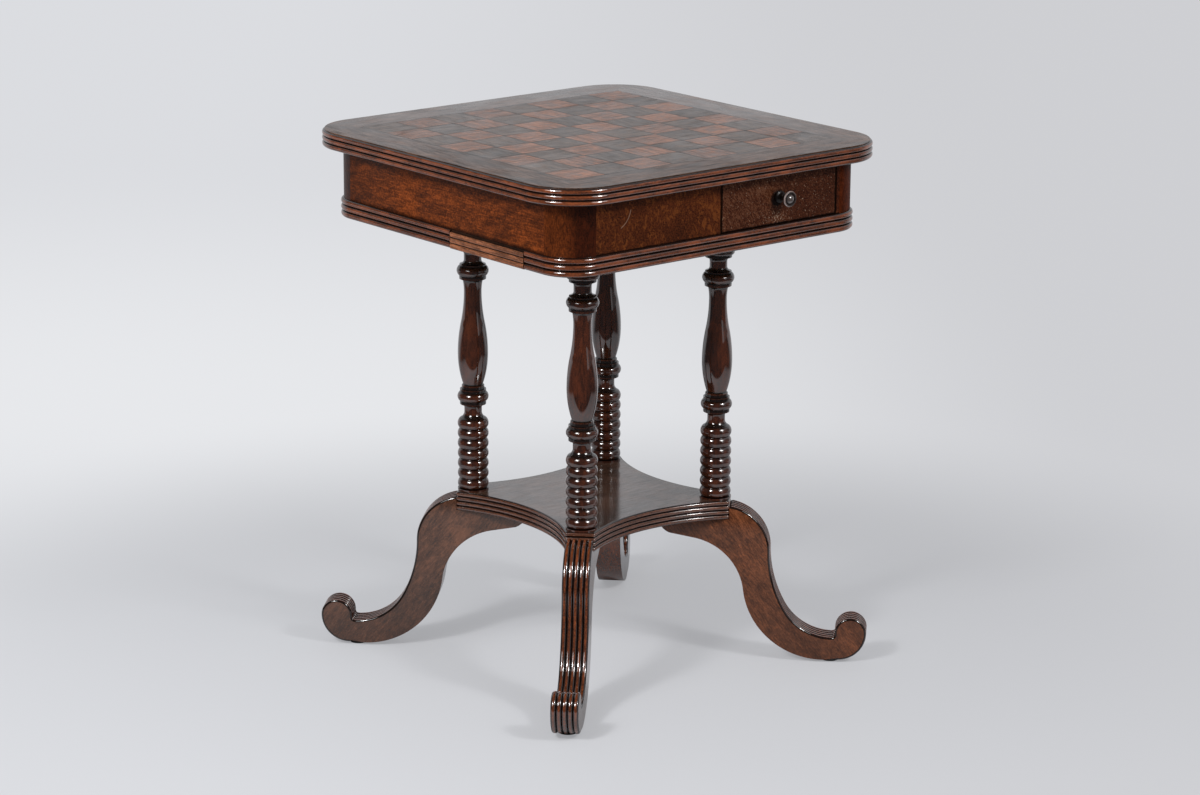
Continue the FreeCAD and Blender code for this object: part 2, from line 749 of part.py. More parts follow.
def column_profile():
    """Half section of a column, heights counted from the top of the platform."""
    tenon, head = dim.tenon_radius, base_bottom - dim.platform_top
    ring, ring_start, ring_radius = 13.95, 2.2, 17.9
    steps = [line_to(0.0, -dim.tenon_length), line_to(tenon, -dim.tenon_length), line_to(tenon, 0.0),
             line_to(21.0, 0.0), line_to(21.0, ring_start), line_to(ring_radius, ring_start)]
    for number in range(1, COLUMN_RINGS + 1):
        steps.append(arc_to(ring_radius, ring_start + ring * number, radius_for(ring / 2, 3.1), 1))
    # The lower neck and its collar: fillet, bead, fillet and step.
    steps += [
        arc_to(11.9, 109.0, 9.6, -1), line_to(11.9, 115.0), arc_to(15.1, 119.5, 5.2, -1),
        line_to(17.7, 119.5), line_to(17.7, 124.0), arc_to(17.7, 136.6, radius_for(6.3, 3.4), 1),
        line_to(17.7, 140.5), line_to(15.3, 140.5), line_to(15.3, 145.5), line_to(13.5, 147.5),
    ]
    # The vase swells to its widest and draws in to its own neck.
    steps += [
        arc_to(20.4, 190.0, radius_for(42.5, 6.9), 1), arc_to(16.15, 232.5, radius_for(42.5, 4.25), 1),
        arc_to(11.9, 275.0, radius_for(42.5, 4.25), -1), arc_to(13.1, 288.5, radius_for(13.5, 1.2), -1),
    ]
    # The upper collar, the upper neck, the small disc, the bead over it and the cap.
    steps += [
        arc_to(15.9, 292.5, 4.6, -1), line_to(18.1, 292.5), line_to(18.1, 297.0),
        arc_to(18.1, 310.5, radius_for(6.75, 3.5), 1), line_to(17.7, 310.5), line_to(17.7, 312.5),
        arc_to(11.8, 318.5, 6.0, -1), line_to(11.8, 326.0), arc_to(17.5, 331.5, 5.6, -1),
        line_to(18.0, 331.5), line_to(18.0, 335.5), line_to(19.7, 335.5),
        arc_to(19.7, 342.0, radius_for(3.25, 2.0), 1), line_to(17.5, 342.0),
        arc_to(21.0, head - 6.0, 60.0, -1), line_to(22.0, head - 6.0), line_to(22.0, head),
    ]
    return steps + [line_to(tenon, head), line_to(tenon, head + dim.tenon_length),
                    line_to(0.0, head + dim.tenon_length)]


def make_columns():
    for name, angle in CORNERS.items():
        body = new_body(f"column_{name}")
        revolve(body, draw(new_sketch(body, f"column_{name}_profile", "XZ_Plane"), column_profile()))
        side_x, side_y = corner_signs(angle)
        place(body, dim.column_place * side_x, dim.column_place * side_y, dim.platform_top)
        keep(body)


# ---------------------------------------------------------------------------------------------
# The platform
# ---------------------------------------------------------------------------------------------

LEG_SCREW_REACHES = (110.0, 138.0)
leg_screw_seat = platform_bottom - 17.0


def leg_screw_spots(side_x, side_y):
    """Places of the two screws of one leg."""
    return [(reach * HALF_ROOT * side_x, reach * HALF_ROOT * side_y) for reach in LEG_SCREW_REACHES]


def make_platform():
    """A board with hollow sides, clipped corners and four reeds on its edge."""
    near = (dim.platform_corner - dim.corner_half_width) * HALF_ROOT
    far = (dim.platform_corner + dim.corner_half_width) * HALF_ROOT
    hollow = radius_for(near, far - dim.platform_waist)
    body = new_body("platform")
    outline = draw(new_sketch(body, "platform_outline"), [
        arc_to(near, -far, hollow, -1), line_to(far, -near), arc_to(far, near, hollow, -1),
        line_to(near, far), arc_to(-near, far, hollow, -1), line_to(-far, near),
        arc_to(-far, -near, hollow, -1), line_to(-near, -far)])
    layer = pad(body, outline, dim.platform_reed)
    softened = round_edges(body, layer, dim.platform_soft, lambda edge: not is_level(edge))
    round_edges(body, softened, dim.platform_reed / 2 - dim.reed_flat, is_level)
    stack(body, "Z_Axis", dim.platform_reed, PLATFORM_REEDS)
    thickness = dim.platform_reed * PLATFORM_REEDS
    sockets = new_sketch(body, "platform_sockets", lift=thickness)
    screws = new_sketch(body, "platform_screw_holes")
    for angle in CORNERS.values():
        side_x, side_y = corner_signs(angle)
        draw_circle(sockets, dim.column_place * side_x, dim.column_place * side_y,
                    dim.tenon_radius + dim.fit)
        for x, y in leg_screw_spots(side_x, side_y):
            draw_circle(screws, x, y, dim.screw_radius + dim.fit)
    pocket(body, sockets, dim.tenon_length + dim.fit, upwards=False)
    pocket(body, screws, leg_screw_seat + dim.screw_length + dim.fit - platform_bottom, upwards=True)
    place(body, z=platform_bottom)
    keep(body)


# ---------------------------------------------------------------------------------------------
# The scrolled legs, their screws and pads
# ---------------------------------------------------------------------------------------------

LEG = SimpleNamespace(
    tongue_end=88.0,        # inner end of the tongue under the platform
    tongue_dip=104.0,       # where the tongue's underside starts to curl up to its end
    tongue_level=176.5,     # height there
    neck_reach=140.0,       # where the hollow under the knee meets the tongue
    neck_level=170.0,       # height there
    neck_radius=83.0,       # curve of the underside from the tongue down to the shin
    shin_inside=205.0,      # innermost point of the shin
    shin_level=98.0,        # its height
    heel=313.0,             # where the flat of the foot starts
    toe=334.0,              # where it ends
    scroll_reach=351.0,     # centre of the scroll
    scroll_level=42.0,      # its height
    scroll_radius=21.5,
    notch_level=35.5,       # bottom of the notch behind the scroll
    notch_radius=4.0,
    hollow_radius=74.0,     # lower arc of the hollow in front of the shin
    ankle=240.0,            # where the knee's curve turns into that hollow
    ankle_level=153.0,
    knee_centre=176.0,      # centre of the knee's curve, level with the ankle
)


def leg_outline():
    """Side view of a leg: reach from the middle of the table and height above the floor.

    Returns the corner where the knee's curve is level, the steps along the reeded edge and the
    steps that close the outline."""
    sole = dim.pad_height
    knee = LEG.ankle - LEG.knee_centre
    crest = line_to(LEG.knee_centre, LEG.ankle_level + knee)
    # The hollow is two arcs: upright at the ankle, level at the notch, in line where they meet.
    scroll_start = LEG.scroll_reach - LEG.scroll_radius
    notch = scroll_start - LEG.notch_radius
    across, down = notch - LEG.ankle, LEG.ankle_level - LEG.notch_level
    low = LEG.hollow_radius
    high = (2 * down * low - across ** 2 - down ** 2) / (2 * low - 2 * across)
    share = low / (high - low)
    meet_reach = notch - share * (LEG.ankle + high - notch)
    meet_level = LEG.notch_level + low - share * (LEG.ankle_level - LEG.notch_level - low)
    reeded = [
        arc_to(LEG.ankle, LEG.ankle_level, knee, -1),
        arc_to(meet_reach, meet_level, high, 1),
        arc_to(notch, LEG.notch_level, low, 1),
        arc_to(scroll_start, LEG.notch_level + LEG.notch_radius, LEG.notch_radius, 1),
        line_to(scroll_start, LEG.scroll_level),
        arc_to(LEG.scroll_reach, LEG.scroll_level + LEG.scroll_radius, LEG.scroll_radius, -1),
        arc_to(LEG.scroll_reach + LEG.scroll_radius, LEG.scroll_level, LEG.scroll_radius, -1),
        arc_to(LEG.toe, sole, LEG.scroll_level - sole, -1),
    ]
    lean = dim.platform_corner - LEG.knee_centre
    closing = [
        line_to(LEG.heel, sole),
        arc_to(LEG.shin_inside, LEG.shin_level,
               radius_for(LEG.heel - LEG.shin_inside, LEG.shin_level - sole), -1),
        arc_to(LEG.neck_reach, LEG.neck_level, LEG.neck_radius, 1),
        line_to(LEG.tongue_dip, LEG.tongue_level),
        arc_to(LEG.tongue_end, platform_bottom, 26.0, -1),
        line_to(dim.platform_corner, platform_bottom),
        line_to(dim.platform_corner, LEG.ankle_level + (knee ** 2 - lean * lean).root()),
    ]
    return crest, reeded, closing


def reed_comb(crest):
    """What is cut away above the reeds: five hollows side by side, with the crowns just touched."""
    margin = 2.0
    outer = leg_thickness / 2
    crown = crest.y - dim.reed_flat
    valley = crown - dim.leg_reed_depth
    steps = [line_to(-outer - margin, crest.y + margin), line_to(-outer - margin, valley),
             line_to(-outer, valley)]
    curve = radius_for(dim.leg_reed / 2, dim.leg_reed_depth)
    for number in range(1, LEG_REEDS + 1):
        steps.append(arc_to(dim.leg_reed * number - outer, valley, curve, -1))
    return steps + [line_to(outer + margin, valley), line_to(outer + margin, crest.y + margin)]


def make_legs():
    crest, reeded, closing = leg_outline()
    for name, angle in CORNERS.items():
        body = new_body(f"leg_{name}")
        outline = draw(new_sketch(body, f"leg_{name}_outline", "XZ_Plane"), reeded + closing)
        pad(body, outline, leg_thickness, symmetric=True)
        path = draw_path(new_sketch(body, f"leg_{name}_path", "XZ_Plane"), crest, reeded)
        comb = draw(new_sketch(body, f"leg_{name}_comb", "YZ_Plane", crest.x), reed_comb(crest))
        reeding = body.newObject("PartDesign::SubtractivePipe", f"leg_{name}_reeding")
        reeding.Profile = comb
        reeding.Spine = path
        shanks = new_sketch(body, f"leg_{name}_screw_holes")
        heads = new_sketch(body, f"leg_{name}_counterbores")
        for reach in LEG_SCREW_REACHES:
            draw_circle(shanks, reach, 0.0, dim.screw_radius + dim.fit)
            draw_circle(heads, reach, 0.0, dim.screw_head_radius + 0.5)
        pocket(body, shanks, platform_bottom, upwards=True)
        pocket(body, heads, leg_screw_seat, upwards=True)
        place(body, angle=angle)
        keep(body)


def make_leg_screws():
    spots = sum([leg_screw_spots(*corner_signs(angle)) for angle in CORNERS.values()], [])
    keep(wood_screws("leg_screws", spots, leg_screw_seat))


def make_foot_pads():
    reach = dim.pad_place * HALF_ROOT
    for name, angle in CORNERS.items():
        side_x, side_y = corner_signs(angle)
        keep(cylinder(f"foot_pad_{name}", reach * side_x, reach * side_y, 0, dim.pad_radius, dim.pad_height))


# ---------------------------------------------------------------------------------------------
# Build, check and write out every sub-part
# ---------------------------------------------------------------------------------------------

make_top_board()
make_squares("light_squares", ((0, 0), (1, 1)))
make_squares("dark_squares", ((1, 0), (0, 1)))
make_borders()
make_base_board()
make_mouldings()
make_corner_posts()
make_frieze()
make_glue_blocks()
make_base_screws()
make_drawer_front()
make_drawer_sides()
make_drawer_back()
make_drawer_bottom()
make_knob()
make_runners()
make_columns()
make_platform()
make_legs()
make_leg_screws()
make_foot_pads()
doc.recompute()

broken = [obj.Label for obj in doc.Objects if {"Invalid", "Error"} & set(obj.State)]
broken += [obj.Label for obj in nodes if obj.Shape.isNull() or not obj.Shape.isValid()]
if broken:
    raise ValueError(f"these are not sound: {broken}")

os.makedirs("parts", exist_ok=True)
for obj in nodes:
    obj.Shape.exportStep(f"parts/{obj.Label}.step")
    print(obj.Label, len(obj.Shape.Solids), round(obj.Shape.Volume))
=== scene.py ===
# %% [markdown]
# # A mahogany chess table
# The table's solids were designed before this script runs.  They arrive as a frame of named
# nodes, in metres, with +Z up and the origin on the floor under the middle of the table.  Here
# the solids get their looks: smooth turned and reeded wood, veneers, light and a camera.  Each
# step first says what the piece is on the real table, and then how it is made.

# %% Load the frame
import math

import bmesh
import bpy
from mathutils import Matrix, Vector


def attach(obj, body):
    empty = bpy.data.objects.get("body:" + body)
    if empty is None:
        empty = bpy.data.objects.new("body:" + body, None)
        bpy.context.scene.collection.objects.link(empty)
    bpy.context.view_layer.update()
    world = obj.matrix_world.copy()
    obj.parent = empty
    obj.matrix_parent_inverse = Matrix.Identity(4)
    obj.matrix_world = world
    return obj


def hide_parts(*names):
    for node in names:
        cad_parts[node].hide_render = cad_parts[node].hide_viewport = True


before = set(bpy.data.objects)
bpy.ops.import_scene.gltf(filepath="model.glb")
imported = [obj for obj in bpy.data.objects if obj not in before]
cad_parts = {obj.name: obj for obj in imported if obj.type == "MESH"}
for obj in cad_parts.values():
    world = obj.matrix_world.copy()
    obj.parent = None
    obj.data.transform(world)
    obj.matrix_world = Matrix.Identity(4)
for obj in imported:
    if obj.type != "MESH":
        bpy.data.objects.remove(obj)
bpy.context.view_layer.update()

# %% [markdown]
# ## Camera
# The camera stands in front of the near corner, at the height of a standing person's chest, and
# looks down a little.  Its three axes are written as vectors, because they state the angle
# without a chain of turns.  A long lens keeps the upright lines almost parallel.

# %% Camera
def new_object(name, data):
    """An object that shows the data.  It stays at the origin, unless it is a lamp or a camera."""
    made = bpy.data.objects.new(name, data)
    bpy.context.scene.collection.objects.link(made)
    return made


camera_right = Vector((0.772104, -0.635466, 0.006118))
camera_up = Vector((0.161409, 0.205408, 0.965274))
camera_back = Vector((-0.614656, -0.744305, 0.261166))
camera_place = Vector((-2.9526, -3.5873, 1.6138))

camera_data = bpy.data.cameras.new("camera")
camera_data.sensor_width = 36.0
camera_data.lens = 107.6
camera = new_object("camera", camera_data)
turn = Matrix((camera_right, camera_up, camera_back)).transposed().to_4x4()
camera.matrix_world = Matrix.Translation(camera_place) @ turn
bpy.context.scene.camera = camera
bpy.context.scene.view_settings.view_transform = "Standard"
print("camera", round(camera_place.length, 2), "m from the foot of the table's axis")

# %% [markdown]
# ## A short way to write nodes
# A material and a geometry recipe are both trees of nodes.  Wiring them by hand hides the idea
# behind a lot of typing.  So one small class wraps a socket and understands + - * /, and one
# method makes any other node: its kind, then its settings, then what goes into its sockets.

# %% Wires
class Wire:
    """One output socket.  Sums with wires and numbers add Math nodes."""

    def __init__(self, tree, socket):
        self.tree = tree
        self.socket = socket

    def maths(self, operation, *values):
        inputs = dict(enumerate(values))
        return self.tree.node("ShaderNodeMath", {"operation": operation}, inputs)["Value"]

    def __add__(self, other):
        return self.maths("ADD", self, other)

    def __sub__(self, other):
        return self.maths("SUBTRACT", self, other)

    def __mul__(self, other):
        return self.maths("MULTIPLY", self, other)

    def __truediv__(self, other):
        return self.maths("DIVIDE", self, other)

    def __pow__(self, other):
        return self.maths("POWER", self, other)

    def __rsub__(self, other):
        return self.maths("SUBTRACT", other, self)

    __radd__ = __add__
    __rmul__ = __mul__

    def floor(self):
        return self.maths("FLOOR", self)

    def fraction(self):
        return self.maths("FRACT", self)

    def least(self, other):
        return self.maths("MINIMUM", self, other)

    def most(self, other):
        return self.maths("MAXIMUM", self, other)

    def size(self):
        return self.maths("ABSOLUTE", self)

    def above(self, level):
        return self.maths("GREATER_THAN", self, level)

# %% Trees
class Tree:
    """A node tree, for a material, the room's light or geometry."""

    def __init__(self, tree):
        self.tree = tree

    def node(self, kind, settings=None, inputs=None):
        made = self.tree.nodes.new(kind)
        for name, value in (settings or {}).items():
            if name == "stops":
                self.set_stops(made.color_ramp, value)
            else:
                setattr(made, name, value)
        for name, value in (inputs or {}).items():
            if isinstance(value, Wire):
                self.tree.links.new(value.socket, made.inputs[name])
            else:
                made.inputs[name].default_value = value
        return Placed(self, made)

    @staticmethod
    def set_stops(ramp, stops):
        while len(ramp.elements) < len(stops):
            ramp.elements.new(1.0)
        for element, (position, colour) in zip(ramp.elements, stops):
            element.position = position
            element.color = (*colour, 1.0)

    def soft_step(self, value, low, high):
        """0 below low, 1 above high, and a smooth rise between them."""
        inputs = {"Value": value, "From Min": low, "From Max": high}
        return self.node("ShaderNodeMapRange", {"interpolation_type": "SMOOTHSTEP"}, inputs)["Result"]

    def reach(self, place, way):
        """How far a place lies along a way."""
        inputs = {0: place, 1: tuple(way)}
        return self.node("ShaderNodeVectorMath", {"operation": "DOT_PRODUCT"}, inputs)["Value"]


class Placed:
    """A node in its tree.  Its outputs go by name or number, and an input can be fed later."""

    def __init__(self, tree, made):
        self.tree = tree
        self.made = made

    def __getitem__(self, key):
        return Wire(self.tree, self.made.outputs[key])

    def feed(self, socket, wire):
        self.tree.tree.links.new(wire.socket, self.made.inputs[socket])


# %% [markdown]
# ## The finish of a surface
# Every surface of the table is a principled shader with a pattern behind its colour, its
# roughness and its bump.  What is the same all over, such as how sharp the polish reflects, is
# set on the shader itself.  The class below starts such a material and holds the few patterns
# that all the woods share: noise stretched along the grain, colour ramps and soft thresholds.

# %% A finish
class Finish(Tree):
    """A material under construction."""

    def __init__(self, name, **constants):
        self.material = bpy.data.materials.new(name)
        self.material.use_nodes = True
        super().__init__(self.material.node_tree)
        self.tree.nodes.clear()
        fixed = {label.replace("_", " "): value for label, value in constants.items()}
        self.shader = self.node("ShaderNodeBsdfPrincipled", inputs=fixed)
        self.output = self.node("ShaderNodeOutputMaterial", inputs={"Surface": self.shader["BSDF"]})
        self.place = self.node("ShaderNodeTexCoord")["Object"]

    def scaled(self, vector, factors):
        return self.vector_maths("MULTIPLY", vector, factors)

    def vector_maths(self, operation, first, second):
        inputs = {0: first, 1: second}
        return self.node("ShaderNodeVectorMath", {"operation": operation}, inputs)["Vector"]

    def parts(self, vector):
        split = self.node("ShaderNodeSeparateXYZ", inputs={"Vector": vector})
        return split["X"], split["Y"], split["Z"]

    def joined(self, x, y, z):
        return self.node("ShaderNodeCombineXYZ", inputs={"X": x, "Y": y, "Z": z})["Vector"]

    def attribute(self, name, output="Fac"):
        return self.node("ShaderNodeAttribute", {"attribute_name": name})[output]

    def noise(self, vector, scale, detail=2.0, roughness=0.5, distortion=0.0, seed=0.0):
        inputs = {"Vector": vector, "W": seed, "Scale": scale, "Detail": detail,
                  "Roughness": roughness, "Distortion": distortion}
        return self.node("ShaderNodeTexNoise", {"noise_dimensions": "4D"}, inputs)["Fac"]

    def mixture(self, *layers):
        """Patterns around one half, each with its own weight, still around one half."""
        total = 0.5
        for pattern, weight in layers:
            total = total + (pattern - 0.5) * weight
        return total

    def ramp(self, value, *stops):
        return self.node("ShaderNodeValToRGB", {"stops": stops}, {"Fac": value})["Color"]

    def shades(self, value, mean, spread=1.0):
        """Dark to light shades of one wood, where a value of one half gives its mean colour."""
        stops = []
        for position, factor in ((0.05, 0.22), (0.35, 0.62), (0.5, 0.95), (0.65, 1.35), (0.95, 2.4)):
            lift = factor ** spread
            stops.append((position, tuple(channel * lift for channel in mean)))
        return self.ramp(value, *stops)

    def blend(self, amount, first, second):
        """From the first colour to the second as the amount goes from 0 to 1."""
        colours = [value if isinstance(value, Wire) else (*value, 1.0) for value in (first, second)]
        inputs = {0: amount, 6: colours[0], 7: colours[1]}
        return self.node("ShaderNodeMix", {"data_type": "RGBA"}, inputs)[2]

    def complete(self, colour, roughness, coat, height, strength, distance=0.0005):
        """Feeds the patterns to the shader: colour, roughness, polish and a relief in metres."""
        bump = self.node("ShaderNodeBump", inputs={
            "Height": height, "Strength": strength, "Distance": distance})
        self.shader.feed("Base Color", colour)
        self.shader.feed("Roughness", roughness)
        self.shader.feed("Normal", bump["Normal"])
        if coat is not None:
            self.shader.feed("Coat Weight", coat)
        print(self.material.name, "has", len(self.tree.nodes), "nodes")
        return self

# %% [markdown]
# ## Studio
# The table stands on a sheet of pale paper between two umbrella lamps, one at the front left and
# one at the front right.  Every turned ring shows both as a pair of highlights.  The room is pale
# to the eye, and dimmer as light on the wood.  Polish mirrors places that nobody looks at: the
# paper shows it a painted reflection, dark before the table and pale behind, and a pale wall
# stands at the right.

# %% Room light
forward = Vector((-camera_back.x, -camera_back.y, 0.0)).normalized()
room_colour = (0.76, 0.77, 0.80, 1.0)
light_on_wood = 0.45
dark_behind_camera, wall_brightness = 0.08, 0.85
world = bpy.data.worlds.new("room")
world.use_nodes = True
bpy.context.scene.world = world
room = Tree(world.node_tree)
room.tree.nodes.clear()

rays = room.node("ShaderNodeLightPath")
seen, mirrored = rays["Is Camera Ray"], rays["Is Glossy Ray"].most(rays["Is Transmission Ray"])
looked_at = room.node("ShaderNodeTexCoord")["Generated"]
ahead, aside = room.reach(looked_at, forward), room.reach(looked_at, camera_right)
backdrop = dark_behind_camera + room.soft_step(ahead, 0.25, 0.70) * (1 - dark_behind_camera)
wall = room.soft_step(aside, 0.64, 0.70) * (1 - room.soft_step(aside, 0.76, 0.90) * 0.7)
backdrop = backdrop.most(wall * wall_brightness)
strength = seen + (1 - seen) * (mirrored * backdrop + (1 - mirrored) * light_on_wood)
background = room.node("ShaderNodeBackground", inputs={"Color": room_colour, "Strength": strength})
room.node("ShaderNodeOutputWorld", inputs={"Surface": background["Background"]})


def soft_box(name, azimuth, elevation, distance, width, power):
    """A lamp that looks at the middle of the table."""
    lamp = bpy.data.lights.new(name, "AREA")
    lamp.shape = "DISK"
    lamp.size = width
    lamp.energy = power
    a, e = math.radians(azimuth), math.radians(elevation)
    away = Vector((math.sin(a) * math.cos(e), -math.cos(a) * math.cos(e), math.sin(e)))
    holder = new_object(name, lamp)
    holder.location = Vector((0.0, 0.0, 0.4)) + away * distance
    holder.rotation_euler = away.to_track_quat("Z", "Y").to_euler()
    print(name, round(power, 1), "W")


# An umbrella is brightest in its middle, so each one is a wide lamp with a small one before it.
umbrella_height = 34.0
for side, azimuth, power in (("left", -77.0, 64.0), ("right", 12.0, 46.0)):
    soft_box(f"umbrella_{side}", azimuth, umbrella_height, 3.0, 1.5, power * 0.45)
    soft_box(f"umbrella_{side}_middle", azimuth, umbrella_height, 2.9, 0.4, power * 0.55)

# %% Floor
half = 40.0
floor_mesh = bpy.data.meshes.new("floor")
floor_mesh.from_pydata([(-half, -half, 0), (half, -half, 0), (half, half, 0), (-half, half, 0)], [],
                       [(0, 1, 2, 3)])
floor = new_object("floor", floor_mesh)

paper = Finish("floor_paper", Roughness=0.6, Specular_IOR_Level=0.1)
ahead, aside = paper.reach(paper.place, forward), paper.reach(paper.place, camera_right)
from_table = paper.node("ShaderNodeVectorMath", {"operation": "LENGTH"}, {0: paper.place})["Value"]
left_to_right = paper.soft_step(aside, -1.0, 1.0)
# The paper is painted darker towards the right, as painted shade.
paper_shaded_to_right = paper.ramp(left_to_right, (0.0, (0.61, 0.62, 0.645)), (1.0, (0.52, 0.525, 0.545)))
paper.shader.feed("Base Color", paper_shaded_to_right)

# What the eye sees far from the table is the paper's own glow, with a painted pool of light behind the
# table and painted shade towards the right.
painted_pool = paper.soft_step(ahead, 0.2, 1.2) * (1 - paper.soft_step(ahead, 1.3, 3.4))
painted_pool = painted_pool * (1 - paper.soft_step(aside, -0.2, 0.9))
seen_glow = paper.ramp(left_to_right, (0.0, (0.71, 0.72, 0.75)), (1.0, (0.62, 0.625, 0.65)))
seen_glow = paper.blend(painted_pool * 0.6, seen_glow, (0.86, 0.87, 0.89))

# What the polish mirrors is a painted reflection: the pale sheet behind and beside the table, and a
# dark floor before it.
past_edge = paper.soft_step(ahead, -0.68, -0.58)
on_sheet = past_edge * (1 - paper.soft_step(aside.size(), 1.1, 1.5))
bright = paper.soft_step(ahead, 0.1, 1.3).most(on_sheet * 0.6)
reflection = paper.blend(bright, (0.07, 0.07, 0.075), (0.70, 0.71, 0.74))

rays = paper.node("ShaderNodeLightPath")
seen, mirrored = rays["Is Camera Ray"], rays["Is Glossy Ray"]
glow = paper.node("ShaderNodeEmission", inputs={"Color": paper.blend(seen, reflection, seen_glow)})
far_away = paper.soft_step(from_table, 0.5, 1.3)
# Near the table the eye still sees 45 percent of that glow, which paints the shadows there lighter.
share = seen * (0.45 + far_away * 0.55) + mirrored * far_away.most(1 - past_edge)
cover = paper.node("ShaderNodeMixShader", inputs={
    0: share, 1: paper.shader["BSDF"], 2: glow["Emission"]})
paper.output.feed("Surface", cover["Shader"])
floor_mesh.materials.append(paper.material)
print("floor", 2 * half, "m wide")

# %% [markdown]
# ## Drawing outlines
# The table's shapes are lines and arcs.  An arc is named by where it ends, its radius and the
# way it turns, so that a list of moves reads like instructions for a compass.  Each traced point
# also keeps the direction that lies to its left, which later says where outwards is.

# %% Outlines
def spoke(degrees):
    """A direction in the drawing plane."""
    return Vector((math.cos(math.radians(degrees)), math.sin(math.radians(degrees))))


def trace(start, moves, longest=0.003):
    """Points along the moves, each with the direction to its left.  Lengths in metres."""
    points = []
    here = Vector(start)
    for move in moves:
        end = Vector(move[:2])
        chord = end - here
        left = Vector((-chord.y, chord.x)).normalized()
        if len(move) == 2:
            points += [(here.copy(), left), (end.copy(), left)]
        else:
            radius, way = move[2:]
            to_centre = math.sqrt(max(radius ** 2 - chord.length ** 2 / 4, 0.0))
            centre = (here + end) / 2 + left * to_centre * way
            first = math.degrees(math.atan2(here.y - centre.y, here.x - centre.x))
            sweep = 2 * math.asin(min(chord.length / (2 * radius), 1.0)) * way
            count = max(3, math.ceil(abs(sweep) * max(radius, 0.004) / longest))
            for step in range(count + 1):
                away = spoke(first + math.degrees(sweep) * step / count)
                points.append((centre + away * radius, away * -way))
        here = end
    return points


def without_repeats(points):
    """The same points, each written once where two moves meet smoothly."""
    kept = points[:1]
    for point in points[1:]:
        if (point[0] - kept[-1][0]).length > 1e-6:
            kept.append(point)
    return kept


def millimetres(*moves):
    """Moves written in millimetres, in metres: the way an arc turns stays as it is."""
    return [tuple(value / 1000 for value in move[:3]) + tuple(move[3:]) for move in moves]


# %% [markdown]
# ## From outline to mesh
# A mesh object gets its points in the table's own frame and stays at the origin.  Edges that
# turn sharply stay crisp and everything else is shaded smooth.  Where a surface lies in a valley
# between reeds or rings, an attribute called "hollow" rises to 1, because polish and dirt
# gather there, and the finish darkens it with that dirt and with painted shade.

# %% Mesh helpers
def mesh_from(name, points, faces, edges=(), **attributes):
    """A mesh with float or vector attributes on its points."""
    mesh = bpy.data.meshes.new(name)
    mesh.from_pydata([tuple(point) for point in points], list(edges), faces)
    for label, values in attributes.items():
        if isinstance(values[0], (int, float)):
            mesh.attributes.new(label, "FLOAT", "POINT").data.foreach_set("value", values)
        else:
            flat = [number for value in values for number in value]
            mesh.attributes.new(label, "FLOAT_VECTOR", "POINT").data.foreach_set("vector", flat)
    mesh.validate()
    return mesh


def crisp_and_smooth(mesh, degrees=32.0):
    mesh.shade_smooth()
    mesh.set_sharp_from_angle(angle=math.radians(degrees))


def face_outwards(mesh):
    """Turns every face of a closed shell outwards."""
    shell = bmesh.new()
    shell.from_mesh(mesh)
    bmesh.ops.recalc_face_normals(shell, faces=shell.faces)
    shell.to_mesh(mesh)
    shell.free()


def ride_on(thing, body, slot, finish, *nodes):
    """Gives a piece its finish and its body, and hides the solids that it stands for.  The slot is not
    used.
    """
    thing.data.materials.clear()
    thing.data.materials.append(finish.material)
    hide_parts(*nodes)
    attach(thing, body)
    print(thing.name, len(thing.data.polygons), "faces")


hair = 0.0001  # a reed's crown stays this far inside the solid's edge


def reed_section(low, pitch, count, depth, steps=10, narrow=2.0):
    """Rounded reeds, one above the other, as (inset, level, hollow).

    The dirt and painted shade in the valleys cover less of the reeds where narrow is higher.
    """
    section = []
    for reed in range(count):
        for step in range(1 if reed else 0, steps + 1):
            angle = math.pi * (step / steps - 0.5)
            inset = hair + depth * (1 - math.cos(angle))
            level = low + pitch * (reed + 0.5 + math.sin(angle) / 2)
            section.append((inset, level, (1 - math.cos(angle)) ** narrow))
    return section


def slab(name, outline, section):
    """A board whose edge follows a section all round the outline of (point, outward) pairs."""
    points, hollows, faces = [], [], []
    count = len(outline)
    for inset, level, hollow in section:
        points += [(*(point - outward * inset), level) for point, outward in outline]
        hollows += [hollow] * count
    for row in range(len(section) - 1):
        for column in range(count):
            after = (column + 1) % count
            faces.append((row * count + column, row * count + after,
                          (row + 1) * count + after, (row + 1) * count + column))
    # The flat faces have points of their own, so that the last valley's dirt and painted shade stay off
    # them.
    below, above = list(points[:count]), list(points[-count:])
    first_cap = len(points)
    points += below + above
    hollows += [0.0] * (2 * count)
    faces.append(tuple(range(first_cap + count - 1, first_cap - 1, -1)))
    faces.append(tuple(range(first_cap + count, first_cap + 2 * count)))
    mesh = mesh_from(name, points, faces, hollow=hollows)
    crisp_and_smooth(mesh)
    return new_object(name, mesh)


# %% [markdown]
# ## Geometry recipes
# Three recipes do the repeating work of the cabinet maker's shop.  The lathe turns a profile
# round an axis.  The plane runs a section along a path, as a moulding plane does.  The corner
# recipe sets one piece on the four corners.  Geometry Nodes suit them, because each rule is
# written once, with named inputs, and then run on different pieces.

# %% Recipe helpers
def new_recipe(name, **inputs):
    """An empty geometry tree with a geometry input, the named inputs and a geometry output."""
    tree = bpy.data.node_groups.new(name, "GeometryNodeTree")
    tree.interface.new_socket("Geometry", in_out="INPUT", socket_type="NodeSocketGeometry")
    tree.interface.new_socket("Geometry", in_out="OUTPUT", socket_type="NodeSocketGeometry")
    for label, kind in inputs.items():
        tree.interface.new_socket(label, in_out="INPUT", socket_type=kind)
    recipe = Tree(tree)
    return recipe, recipe.node("NodeGroupInput")


def close_recipe(recipe, geometry, given):
    """Realize Instances and Set Material end each recipe."""
    real = recipe.node("GeometryNodeRealizeInstances", inputs={"Geometry": geometry})["Geometry"]
    painted = recipe.node("GeometryNodeSetMaterial", inputs={
        "Geometry": real, "Material": given["Finish"]})["Geometry"]
    recipe.node("NodeGroupOutput", inputs={"Geometry": painted})
    print("recipe", recipe.tree.name, "has", len(recipe.tree.nodes), "nodes")


